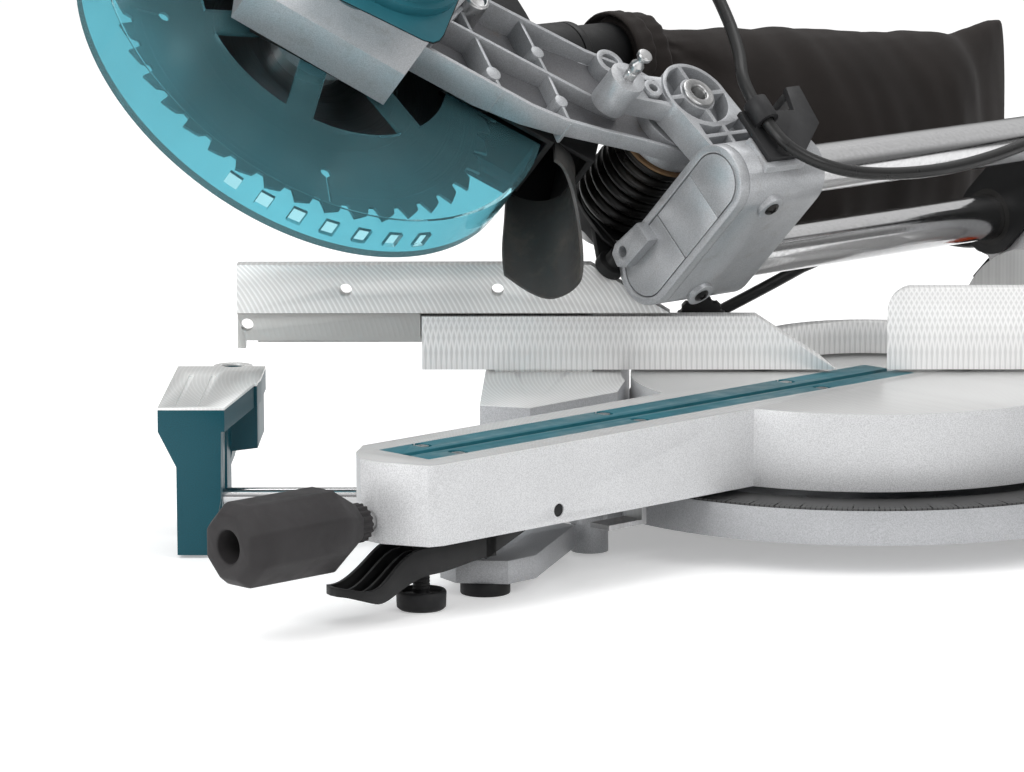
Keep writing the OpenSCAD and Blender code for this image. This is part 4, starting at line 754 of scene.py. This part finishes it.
# rounded edges for castings and mouldings: a merged copy, its flats joined, cut where hollow, then bevelled
edgeValues = {
    "base_casting": 1.2, "turntable": 1.0, "carriage": 0.8, "carriage_cap": 0.8, "gear_housing": 5.0,
    "motor_housing": 1.4, "motor_cap": 1.4, "support_left": 1.2, "support_right": 1.2, "bevel_arm": 1.2,
    "rail_end_plate": 0.8, "handle": 2.0, "fence": 0.5, "upper_fence": 0.5, "hinge_pin": 0.4,
    "bevel_lever": 1.0, "cord_bracket": 0.6, "blade_case": 0.7, "kerf_boards": 0.3, "mitre_grip": 2.6,
    "fence_knob": 0.6, "slide_knob": 0.6, "plug": 1.5, "dust_nozzle": 0.6, "base_feet": 0.8}
hubValues = {"hinge": (-87, 173), "inner": 12.5, "outer": 22.4, "spoke": 1.5, "deep": 67, "face": 82,
             "cells": [[(-81, 142), (-62, 142), (-62, 153), (-70, 149.5), (-81, 147)],
                       [(-101.5, 142), (-84, 142), (-84, 147), (-92, 147.2), (-101.5, 151)],
                       [(-81, 131), (-61, 131), (-61, 139.4), (-81, 139.4)],
                       [(-101, 131), (-84, 131), (-84, 139.4), (-101.5, 139.4)],
                       [(-112.5, 189), (-112.5, 171.5), (-126.5, 176), (-126.5, 191.5)]],
             "bore": [(0, 66), (5.4, 66), (5.4, 90), (0, 90)]}
earValues = {"behind": -27.5, "above": 116}
hubFrame = carriageFrame @ moved(*hubValues["hinge"], 0)


def hubCutters(v):
    cutters = []
    for quarter in range(4):
        outline = []
        for r, order in ((v["outer"], range(9)), (v["inner"], range(8, -1, -1))):
            slack = math.asin(v["spoke"] / r)
            for k in order:
                turn = quarter * math.pi / 2 + slack + (math.pi / 2 - 2 * slack) * k / 8
                outline.append((v["hinge"][0] + r * math.cos(turn), v["hinge"][1] + r * math.sin(turn)))
        cutters.append(plateFrom("hub_cut", outline, v["deep"], v["face"]))
    for cell in v["cells"]:
        cutters.append(plateFrom("cell_cut", cell, v["deep"] + 2, v["face"]))
    return [setIn(cutter, carriageFrame) for cutter in cutters]


def boreCutters(v):
    return [setIn(spunPiece("bore_cut", v["bore"], 32), hubFrame)]


hollows = {"carriage": hubCutters, "hinge_pin": boreCutters}


def bareCopy(name, ending):
    source = nodes[name]
    piece = source.copy()
    piece.data = source.data.copy()
    piece.name = name + ending
    piece.parent = None
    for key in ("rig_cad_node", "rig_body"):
        if key in piece:
            del piece[key]
    scene.collection.objects.link(piece)
    editAll(piece)
    bpy.ops.mesh.remove_doubles(threshold=0.00001)
    bpy.ops.mesh.dissolve_limited(angle_limit=math.radians(0.6))
    bpy.ops.object.mode_set(mode="OBJECT")
    return piece


def softenEdges(name, width):
    piece = bareCopy(name, "_rounded")
    if name in hollows:
        cutAway(piece, hollows[name](hubValues))
    roundEdges(piece, width, 4 if width > 4 else 2)
    dressPiece(piece, None, bodyOf[name], slotOf[name], name, finish=finishFor(name))
    if name == "carriage":
        blackenEar(piece, earValues)


def blackenEar(piece, v):
    piece.data.materials.append(finishes["black_plastic"])
    for face in piece.data.polygons:
        spot = carriageFrame.inverted() @ face.center * 1000
        if spot.z < v["behind"] and spot.y > v["above"]:
            face.material_index = 1


for name, width in edgeValues.items():
    softenEdges(name, width)
print("edges rounded on", len(edgeValues), "castings and mouldings")

# head arm: thin flanges round a web, one long rib, short cross ribs with a boss on each
armValues = {
    "back": 34.5, "front": 57, "wall": 2.6, "web": 5,
    "taper": [(172, 34.5), (126, 34.5), (71, 43), (46, 45), (-30, 45)],
    "outline": [(-22, -12), (-16, -26), (20, -38), (46, -49), (71, -58), (95, -62), (126, -62), (172, -62),
                (166, -36), (156, -4), (154, 14), (140, 13), (126, 13.5), (95, 15), (71, 16), (46, 21),
                (30, 24), (-16, 20)],
    "ribs": [((165, -25), (38, -22)), ((118, 14), (90, -23)), ((157, -6), (143.5, -24.5)),
             ((142, -24.5), (115, -62)), ((89.5, -23.5), (67, -57))], "ribThick": 2.4,
    "bosses": [((100.5, -8.5), 4.6), ((124.7, -49.4), 5.2), ((77.5, -41), 4.6)], "bossFrom": 38,
    "bossTo": 55.4, "eye": (53.4, 15.6), "eyeRing": [(6, 42), (10, 42), (10, 58.4), (6, 58.4)],
    "hub": [(9.1, -28), (17, -28), (17, 34.5), (26, 34.5), (26, 57), (9.1, 57)]}


def backAt(taper, u):
    for (a, wa), (b, wb) in zip(taper, taper[1:]):
        if a >= u >= b:
            return wa + (wb - wa) * (a - u) / (a - b)
    return taper[0][1] if u > taper[0][0] else taper[-1][1]


def makeArm(v):
    shell = plateFrom("arm_of_head", [(-u, z) for u, z in v["outline"]], v["back"], v["front"])
    floor = v["back"] + v["web"]
    sinkFaces(shell, lambda spot, way: way.z > 0.9, v["wall"], v["front"] - floor)
    for corner in shell.data.vertices:
        u, w = -corner.co.x * 1000, corner.co.z * 1000
        if w < floor + 1:
            corner.co.z = (backAt(v["taper"], u) + (v["web"] - 1 if w > floor - 1 else 0)) / 1000
    parts = [shell]
    for number, ((u1, z1), (u2, z2)) in enumerate(v["ribs"]):
        high = v["front"] - (0.8 if number == 0 else 2.2)
        rib = barOutline((-u1, z1), (-u2, z2), v["ribThick"])
        parts.append(plateFrom("rib", rib, v["back"] + 3, high))
    low, top = v["bossFrom"], v["bossTo"]
    for (u, z), r in v["bosses"]:
        boss = spunPiece("boss", [(0, low), (r + 0.5, low), (r, top), (0, top)], 24)
        parts.append(setIn(boss, moved(-u, z, 0)))
    parts.append(setIn(spunPiece("eye", v["eyeRing"]), moved(-v["eye"][0], v["eye"][1], 0)))
    parts.append(spunPiece("hub", v["hub"], 56))
    arm = joinPieces(parts)
    roundEdges(arm, 0.6)
    # the pocket floors get the dark web finish: painted shade for the pockets' depth, with grime patches
    shadedFloors = [face.index for face in arm.data.polygons
              if face.normal.z > 0.9 and face.center.z * 1000 < floor + 8]
    dressPiece(arm, liftedFrame, "head", "cast_head", "head_arm")
    arm.data.materials.append(webShadeFinish)
    for number in shadedFloors:
        arm.data.polygons[number].material_index = 1


makeArm(armValues)

# cover let into the gear housing, its seam, and a plated bolt beside it
coverValues = {
    "outline": [(164.5, -50), (166, -57), (169.5, -62), (176, -64.5), (205, -66.5), (245, -70), (283, -75),
                (290, -50), (291, -30), (281, 36), (244, 68), (197, 74), (164, 62), (157.5, 44), (161, -4)],
    "low": 62.0, "high": 63.4, "seam": 0.7, "boltAt": (-150, -2),
    "bolt": [(0, 40), (8.6, 40), (8.6, 63.4), (7.6, 64.6), (6.4, 64.6), (5.6, 62.4), (0, 62)]}


def makeCover(v):
    outline = [Vector((-u, z)) for u, z in v["outline"]]
    middle = sum(outline, Vector((0, 0))) / len(outline)
    wider = [p + (p - middle).normalized() * v["seam"] for p in outline]
    seam = plateFrom("cover_seam", wider, v["low"], v["high"] - 0.8)
    dressPiece(seam, liftedFrame, "head", "rubber")
    cover = roundEdges(plateFrom("gear_cover", outline, v["low"], v["high"]), 0.5)
    dressPiece(cover, liftedFrame, "head", "teal_plastic")
    bolt = roundEdges(spunPiece("arm_bolt", v["bolt"]), 0.3)
    dressPiece(bolt, liftedFrame @ moved(*v["boltAt"], 0), "head", "steel")


makeCover(coverValues)
print("head arm, cover and bolt made")

# carriage: bush in the hub, boss in the web, turned pin, three cover plates down the front, cast lug
carriageValues = {
    "bush": [(5.6, 74), (11.2, 74), (11.2, 81.8), (10.4, 82.5), (6.4, 82.5), (5.6, 81.8)],
    "webBoss": [(3.0, 66), (6.6, 66), (6.4, 80.2), (3.0, 80.2)], "webBossAt": (-119.5, 182),
    "pinAt": (-140.4, 188.6),
    "pin": [(0, 62), (4, 62), (4, 90.5), (3.5, 91), (3.5, 91.8), (4.4, 92.4), (4.4, 97), (2.7, 99.6),
            (2.4, 102.2), (4.8, 103.6), (5, 106), (4.2, 107), (0, 107)],
    "railW": (-12, 74), "railH": 110, "plateR": 17.4, "plateFrom": 108.6,
    "plates": [(60.2, 110, 112.9), (20.4, 59.6, 112.3), (-50, 19.8, 112.6)],
    "backPlate": [(-109, 173), (-107, 190), (-98, 203), (-80, 212), (-58, 208), (-48, 190), (-51, 166),
                  (-62, 152), (-80, 143), (-101, 137), (-108, 150)],
    "link": ((-96, 166), (-113, 131), 15), "linkAt": (-113, 131),
    "linkBolt": [(0, -45), (6.4, -45), (6.4, -39), (9.6, -37.5), (9.6, -31), (6, -30), (6, -23), (0, -23)],
    "washer": [(18.2, 31.6), (27.6, 31.6), (27.6, 33.4), (18.2, 33.4)],
    "lug": [(-24, 122), (-18, 117), (10, 116), (10, 131), (-15, 134), (-22, 131)], "lugHole": (-13, 126),
    "lugCut": [(0, 114), (3.2, 114), (3.2, 125), (0, 125)]}


def stadiumCut(v, low, high):
    points = []
    for w, start in ((v["railW"][1], -90), (v["railW"][0], 90)):
        for k in range(25):
            turn = math.radians(start + 180 * k / 24)
            points.append(Vector((w + v["plateR"] * math.cos(turn),
                                  v["railH"] + v["plateR"] * math.sin(turn))))
    outline = []
    for p, q in zip(points, points[1:] + points[:1]):
        if low <= p.x <= high:
            outline.append(p)
        for edge in sorted((low, high), reverse=q.x < p.x):
            if (p.x - edge) * (q.x - edge) < 0:
                outline.append(p.lerp(q, (edge - p.x) / (q.x - p.x)))
    return outline


def makeCarriageTrim(v):
    bush = roundEdges(spunPiece("hinge_bush", v["bush"], 48), 0.3)
    dressPiece(bush, hubFrame, "carriage", "steel")
    boss = roundEdges(spunPiece("web_boss", v["webBoss"], 32), 0.3)
    dressPiece(boss, carriageFrame @ moved(*v["webBossAt"], 0), "carriage", "cast_head")
    plate = roundEdges(plateFrom("spring_plate", v["backPlate"], -34, -31.4), 0.5)
    link = roundEdges(plateFrom("guard_link", barOutline(*v["link"]), -38.5, -34.2), 0.8)
    bolt = setIn(roundEdges(spunPiece("link_bolt", v["linkBolt"], 36), 0.5), moved(*v["linkAt"], 0))
    for part in (plate, link, bolt):
        dressPiece(part, carriageFrame, "carriage", "black_plastic")
    washer = roundEdges(spunPiece("spring_washer", v["washer"], 48), 0.3)
    dressPiece(washer, hubFrame, "carriage", "steel", finish=rustFinish)
    pin = roundEdges(spunPiece("turned_pin", v["pin"], 40), 0.2)
    dressPiece(pin, carriageFrame @ moved(*v["pinAt"], 0), "stop_pin", "steel", "stop_pin")
    for number, (low, high, face) in enumerate(v["plates"]):
        plate = plateFrom("front_plate_%d" % number, stadiumCut(v, low, high), v["plateFrom"], face)
        dressPiece(roundEdges(plate, 0.5), frontFrame, "carriage", "cast_head")
    lug = plateFrom("cast_lug", v["lug"], 106, 121)
    cutAway(lug, [setIn(spunPiece("lug_cut", v["lugCut"], 24), moved(*v["lugHole"], 0))])
    dressPiece(roundEdges(lug, 1.2), frontFrame, "carriage", "cast_head")


makeCarriageTrim(carriageValues)

# cross head screws, modelled once and copied
screwValues = {"radius": 5.0, "slot": 0.75, "reach": 3.0,
               "places": [underFrame @ moved(-12, 81, -84.5), underFrame @ moved(74, 81, -84.5),
                          carriageFrame @ moved(-70, 112, 102.6)]}


def makeScrews(v):
    r, s, t = v["radius"], v["slot"], v["reach"]
    dome = [(0, -2), (r * 0.5, -2), (r * 0.5, 0), (r, 0), (r, 0.9), (r * 0.82, 1.9), (r * 0.45, 2.5),
            (0, 2.7)]
    head = spunPiece("cross_screw", dome, 32)
    plus = [(s, s), (t, s), (t, -s), (s, -s), (s, -t), (-s, -t), (-s, -s), (-t, -s), (-t, s), (-s, s),
            (-s, t), (s, t)]
    cutAway(head, [plateFrom("plus_cut", plus, 0.9, 4)])
    smoothFlats()
    for number, place in enumerate(v["places"]):
        screw = head.copy()
        screw.data = head.data.copy()
        screw.name = "cross_screw_%d" % number
        scene.collection.objects.link(screw)
        dressPiece(screw, place, "carriage", "spring_steel")
    bpy.data.objects.remove(head)


makeScrews(screwValues)
print("carriage trim and screws made")

# return spring: smooth round wire, a little fuller than its solid
springValues = {"hinge": (87, 173), "radius": 24, "wire": 3.2, "from": -27.4, "to": 30.7, "turns": 8,
                "each": 28}


def makeSpring(v):
    count = v["turns"] * v["each"]
    line = []
    for i in range(count + 1):
        turn = 2 * math.pi * i / v["each"]
        w = v["from"] + (v["to"] - v["from"]) * i / count
        u, h = v["hinge"][0] - v["radius"] * math.sin(turn), v["hinge"][1] + v["radius"] * math.cos(turn)
        line.append(headPoint(u, w, h))
    spring = tubeAlong("wound_spring", line, v["wire"] / 1000, 4)
    dressPiece(spring, None, "carriage", "spring_steel", "return_spring")


makeSpring(springValues)

# detent lever: a curved tongue with raised sides and two ribs down its channel
leverValues = {"root": 340, "tip": 454, "half": 16.8, "wall": 2.4, "ribs": (-5.4, 5.4), "floor": 2.4,
               "top": (43, [(-3, 345, 45), (-19, 399, 40), (2, 440, 14)]),
               "low": (28, [(-4, 345, 45), (-11.5, 393, 40), (5.5, 432, 22)]),
               "pivot": [(-300, 60), (-322, 60), (-344, 43), (-348, 41), (-348, 27), (-300, 46)],
               "rod": [(0, -38), (4, -38), (4, 38), (0, 38)], "rodAt": (0, -310, 54),
               "studSlot": (373, 397, 9)}


def easeOf(t):
    t = min(1, max(0, t))
    return t * t * (3 - 2 * t)


# a start level and its rises, each with where it begins and how long it takes
def levelAt(u, curve):
    level, rises = curve
    for rise, start, long in rises:
        level += rise * easeOf((u - start) / long)
    return level


def leverHalf(u, v):
    waist = v["half"] - 1.8 * math.sin(math.pi * easeOf((u - 392) / 45))
    start = v["tip"] - v["half"]
    return waist if u < start else waist * math.sqrt(max(0.03, 1 - ((u - start) / v["half"]) ** 2))


def leverStrip(name, low, high, first, last, widthAt, rows=40):
    strip = newGrid(name, 4, rows)
    for corner in strip.data.vertices:
        u = last - (last - first) * (corner.co.y + 1) / 2
        middle, half = widthAt(u)
        corner.co = ((middle + corner.co.x * half) / 1000, -u / 1000, low / 1000)
    return raiseAll(strip, high - low)


def makeLever(v):
    tongue = leverStrip("tongue_lever", 0, 10, v["root"], v["tip"], lambda u: (0, leverHalf(u, v)))
    sinkFaces(tongue, lambda spot, way: way.z > 0.9, v["wall"], 8)
    for corner in tongue.data.vertices:
        u, level = -corner.co.y * 1000, corner.co.z * 1000
        low = levelAt(u, v["low"]) + (v["floor"] if level > 1 else 0)
        corner.co.z = (levelAt(u, v["top"]) if level > 9 else low) / 1000
    parts = [tongue]
    for w in v["ribs"]:
        rib = leverStrip("rib", 0, 10, v["root"] + 4, v["tip"] - 7, lambda u: (w, 0.9))
        for corner in rib.data.vertices:
            u, level = -corner.co.y * 1000, corner.co.z * 1000
            corner.co.z = (levelAt(u, v["top"]) - 2.2 if level > 5 else levelAt(u, v["low"]) + 1) / 1000
        parts.append(rib)
    side = plateFrom("pivot", v["pivot"], -v["half"], v["half"])
    parts.append(setIn(side, sideFrame))
    rod = spunPiece("rod", v["rod"], 32)
    parts.append(setIn(rod, moved(*v["rodAt"]) @ Matrix.Rotation(math.pi / 2, 4, "Y")))
    a, b, half = v["studSlot"]
    for part in parts[:3]:
        cutAway(part, [plateFrom("stud_cut", [(-half, -b), (half, -b), (half, -a), (-half, -a)], 0, 70)])
    lever = roundEdges(joinPieces(parts), 0.7)
    dressPiece(lever, tableFrame, "lock_lever", "black_plastic", "lock_lever")


makeLever(leverValues)

# levelling foot: a cup with a sunk top, and a threaded stud
footValues = {"at": 385, "thread": (11, 44, 1.9), "threadRadius": 4.6,
              "cup": [(0, 0.2), (12.8, 0.2), (14.6, 1.8), (14.9, 10.6), (14.2, 11.8), (12.8, 11.8),
                      (12.2, 10.8), (12, 9), (6.5, 9), (4.9, 10.4), (4.9, 82), (0, 82)]}


def makeFoot(v):
    cup = roundEdges(spunPiece("levelling_cup", v["cup"], 56), 0.3)
    low, high, pitch = v["thread"]
    r, turns = v["threadRadius"], (high - low) / pitch
    line = [Vector((r * math.cos(a), r * math.sin(a), low + pitch * a / (2 * math.pi))) / 1000
            for a in (2 * math.pi * k / 20 for k in range(int(turns * 20)))]
    thread = tubeAlong("thread", line, 0.0007, 2)
    foot = joinPieces([cup, thread])
    dressPiece(foot, tableFrame @ moved(0, -v["at"], 0), "levelling_foot", "rubber", "levelling_foot")


makeFoot(footValues)

# ribbed neck on the mitre grip's shaft
neckValues = {"from": 432, "to": 456, "high": 58.5, "ribs": 18, "outer": 11.6, "inner": 10.5,
              "shaft": [(0, 425.2), (6.2, 425.2), (6.2, 433), (0, 433)]}


def makeGripNeck(v):
    outline = []
    for k in range(v["ribs"] * 4):
        r = v["outer"] if k % 4 < 2 else v["inner"]
        turn = 2 * math.pi * k / (v["ribs"] * 4)
        outline.append((r * math.cos(turn), r * math.sin(turn)))
    neck = roundEdges(plateFrom("grip_neck", outline, v["from"], v["to"]), 0.5)
    place = noseFrame @ moved(0, v["high"], 0)
    dressPiece(neck, place, "mitre_grip", "black_plastic", finish=nodeFinishes["mitre_grip"])
    shaft = roundEdges(spunPiece("grip_shaft", v["shaft"], 40), 0.3)
    dressPiece(shaft, place, "mitre_grip", "steel")


makeGripNeck(neckValues)
print("spring, lever, foot and grip neck made")

# dust flap: a curled rubber tongue, short on the near side, its end swept back
flapValues = {"top": -43, "low": -122, "nearLow": -62, "centre": 67, "sweep": 17, "radius": 27, "flare": 4,
              "thick": 2.0, "turn": (-97, 88), "wave": 0.8}


def makeFlap(v):
    flap = newGrid("curled_flap", 36, 30)
    for corner in flap.data.vertices:
        share, down = (corner.co.x + 1) / 2, (1 - corner.co.y) / 2
        turn = v["turn"][0] + (v["turn"][1] - v["turn"][0]) * share
        low = v["low"] + (v["nearLow"] - v["low"]) * easeOf(turn / 80) + 10 * easeOf((-turn - 40) / 60)
        high = v["top"] + (low - v["top"]) * down
        deep = (v["top"] - high) / (v["top"] - v["low"])
        r = v["radius"] + v["flare"] * deep
        a = math.radians(turn)
        wave = v["wave"] * math.sin(7 * deep + 2 * a)
        u = v["centre"] - v["sweep"] * deep ** 1.5 - r * math.cos(a) + wave
        corner.co = (-u / 1000, high / 1000, r * math.sin(a) / 1000)
    addWall(flap, v["thick"])
    tidyShell(flap)
    smoothFlats(50)
    dressPiece(flap, liftedFrame, "head", "rubber", "dust_flap", finish=nodeFinishes["dust_flap"])


makeFlap(flapValues)

# strap that ties the coil of the lead
tieValues = {"at": (-105, 224, 9.1), "half": (14.6, 9.2), "wide": 11, "thick": 1.1}


def makeTie(v):
    outline = []
    for k in range(40):
        turn = 2 * math.pi * k / 40
        shares = (math.cos(turn), math.sin(turn))
        outline.append([half * math.copysign(abs(share) ** 0.5, share) for half,
                        share in zip(v["half"], shares)])
    band = plateFrom("coil_tie", outline, -v["wide"] / 2, v["wide"] / 2)
    pickFaces(band, lambda spot, way: abs(way.z) > 0.9)
    bpy.ops.mesh.delete(type="FACE")
    bpy.ops.object.mode_set(mode="OBJECT")
    addWall(band, v["thick"], -1)
    smoothFlats()
    dressPiece(band, moved(*v["at"]) @ sideFrame, "base", "black_plastic")


makeTie(tieValues)

# dust bag: the solid's form, filled by a cloth simulation, then its folds, gathers and hem
bagValues = {"voxel": 0.0055, "pressure": 3.5, "gravity": 0.25, "spare": -0.05, "steps": 20, "quality": 6,
             "mass": 0.2, "stiffness": 0.4, "cap": 0.012, "fold": 0.0034, "gather": 0.0016,
             "neckLong": 0.03,
             "mouthDeep": 0.006, "collarRadius": 28.6, "collarLong": 17, "collarThick": 1.8, "ripples": 17,
             "cornerUp": 0.024, "topDown": -0.003, "sink": 0.02, "longer": 0.024}


def fillBag(piece, v, bagWay, first):
    start = [point.co.copy() for point in piece.data.vertices]
    neck = piece.vertex_groups.new(name="neck")
    neck.add([i for i, p in enumerate(start) if p.dot(bagWay) < first + v["neckLong"]], 1.0, "REPLACE")
    cloth = piece.modifiers.new("cloth", "CLOTH")
    cloth.settings.quality = v["quality"]
    cloth.settings.mass = v["mass"]
    cloth.settings.bending_stiffness = v["stiffness"]
    cloth.settings.use_pressure = True
    cloth.settings.uniform_pressure_force = v["pressure"]
    cloth.settings.shrink_min = v["spare"]
    cloth.settings.vertex_group_mass = "neck"
    cloth.settings.effector_weights.gravity = v["gravity"]
    for step in range(1, v["steps"] + 1):
        scene.frame_set(step)
    makeActive(piece)
    bpy.ops.object.modifier_apply(modifier="cloth")
    scene.frame_set(1)
    for point, before in zip(piece.data.vertices, start):
        shift = point.co - before
        point.co = before + shift * min(1, v["cap"] / max(shift.length, 0.000001))
    piece.vertex_groups.clear()


def makeBag(v):
    piece = bareCopy("dust_bag", "_cloth")
    shell = piece.modifiers.new("shell", "REMESH")
    shell.mode = "VOXEL"
    shell.voxel_size = v["voxel"]
    bpy.ops.object.modifier_apply(modifier="shell")
    bagWay, sideWay = Vector((halfRoot, halfRoot, 0)), Vector((halfRoot, -halfRoot, 0))
    reach = [point.co.dot(bagWay) for point in piece.data.vertices]
    first, last = min(reach), max(reach)
    mouth = [point.co for point, r in zip(piece.data.vertices, reach) if r < first + v["mouthDeep"]]
    centre = sum(mouth, Vector()) / len(mouth)
    top, low = max(p.co.z for p in piece.data.vertices), min(p.co.z for p in piece.data.vertices)
    fillBag(piece, v, bagWay, first)
    piece.data.update()
    outward = [point.normal.copy() for point in piece.data.vertices]
    for point, way in zip(piece.data.vertices, outward):
        s = (point.co.dot(bagWay) - first) / (last - first)
        t = (point.co.z - low) / (top - low)
        sag = noise.noise(Vector((s * 11, t * 1.6, 0.3 if way.dot(sideWay) > 0 else 4.2)))
        sag += 0.5 * noise.noise(Vector((s * 23 + t * 3, t * 2.2, 1.7)))
        angle = math.atan2(point.co.z - centre.z, (point.co - centre).dot(sideWay))
        gather = math.sin(v["ripples"] * angle + 6 * s) * max(0, 1 - abs(s - 0.09) / 0.08)
        fold = v["fold"] * sag * easeOf((s - 0.08) / 0.15) * (1.25 - 0.5 * t)
        point.co += way * (fold + v["gather"] * gather)
        point.co.z += v["cornerUp"] * easeOf((s - 0.84) / 0.14) * easeOf((t - 0.35) / 0.6)
        point.co.z -= (v["topDown"] * t + v["sink"] * max(0, 1 - t) ** 1.5) * easeOf((s - 0.1) / 0.3)
        point.co += bagWay * v["longer"] * s * s
    back = first - centre.dot(bagWay) - 0.004
    collar = makeCollar(v)
    setIn(collar, localFrame(-sideWay, Vector((0, 0, 1)), bagWay, centre + bagWay * back))
    bag = joinPieces([piece, collar])
    smoother = bag.modifiers.new("smoother", "SUBSURF")
    smoother.levels = 1
    smoother.render_levels = 1
    bpy.ops.object.modifier_apply(modifier="smoother")
    bpy.ops.object.shade_smooth()
    dressPiece(bag, None, "head", "bag_cloth", "dust_bag")


def makeCollar(v):
    collar = newRing("collar", 96, "NOTHING", v["collarRadius"] / 1000)
    editAll(collar)
    for part in range(5):
        bpy.ops.mesh.extrude_edges_move(TRANSFORM_OT_translate={"value": (0, 0, v["collarLong"] / 5000)})
    bpy.ops.object.mode_set(mode="OBJECT")
    for corner in collar.data.vertices:
        turn = math.atan2(corner.co.y, corner.co.x)
        t = corner.co.z * 1000 / v["collarLong"]
        ripple = 0.022 * math.sin(v["ripples"] * turn + 2.5 * t) * t
        swell = 1 + ripple + 0.03 * math.sin(math.pi * min(1, t * 2.2))
        corner.co.x *= swell
        corner.co.y *= swell
    addWall(collar, v["collarThick"])
    return tidyShell(collar)


makeBag(bagValues)
print("dust bag filled")

# floor and light
stageValues = {"floorColour": (0.86, 0.86, 0.86), "floorSize": 40, "floorGlow": 0.34, "skyStrength": 0.78,
               "whiteSky": (1.25, 1.25, 1.25),
               "sky": [(0.0, 0.22), (0.22, 0.26), (0.5, 0.9), (1.0, 1.0)]}


def setStage(v):
    deselectAll()
    bpy.ops.mesh.primitive_plane_add(size=v["floorSize"], location=(0, 0, 0))
    floor = bpy.context.object
    floor.name = "studio_floor"
    finish = newFinish("studio_paper", v["floorColour"], 0.9)
    path = addNode(finish, "ShaderNodeLightPath").outputs
    bounced = mathOf(finish, "MAXIMUM", path["Is Glossy Ray"], path["Is Transmission Ray"])
    seen = mathOf(finish, "MAXIMUM", path["Is Camera Ray"], bounced)
    glow = addNode(finish, "ShaderNodeEmission")
    wire(finish, mathOf(finish, "MULTIPLY", seen, v["floorGlow"]), glow.inputs["Strength"])
    both = addNode(finish, "ShaderNodeAddShader")
    for number, part in enumerate((shaderOf(finish), glow)):
        wire(finish, part.outputs[0], both.inputs[number])
    wire(finish, both.outputs[0], finish.node_tree.nodes["Material Output"].inputs["Surface"])
    floor.data.materials.append(finish)
    world = bpy.data.worlds.new("studio_sky")
    scene.world = world
    world.use_nodes = True
    sky = world.node_tree.nodes["Background"]
    sky.inputs["Strength"].default_value = v["skyStrength"]
    x, y, z = splitSpot(world, addNode(world, "ShaderNodeTexCoord").outputs["Generated"])
    straight = addNode(world, "ShaderNodeLightPath").outputs["Is Camera Ray"]
    wire(world, mixColour(world, straight, rampOf(world, z, *v["sky"]), v["whiteSky"]), sky.inputs["Color"])


lampValues = [  # place, aim, size, watts
    {"place": (-1.6, -1.9, 2.3), "aim": (-0.2, 0, 0.15), "size": 1.6, "watts": 34},
    {"place": (1.9, -1.6, 1.8), "aim": (0, 0, 0.15), "size": 1.3, "watts": 20},
    {"place": (0.1, 0.9, 2.6), "aim": (-0.1, 0, 0.1), "size": 1.8, "watts": 26},
    {"place": (-2.3, -1.7, 0.75), "aim": (-0.2, -0.1, 0.15), "size": 1.5, "watts": 15}]


def hangLamps(lamps):
    for number, lamp in enumerate(lamps):
        bpy.ops.object.light_add(type="AREA", location=lamp["place"])
        light = bpy.context.object
        light.data.energy = lamp["watts"]
        light.data.size = lamp["size"]
        aim = Vector(lamp["aim"]) - Vector(lamp["place"])
        light.rotation_euler = aim.to_track_quat("-Z", "Y").to_euler()
        light.name = "softbox_%d" % number


setStage(stageValues)
hangLamps(lampValues)
print("stage and lamps set")
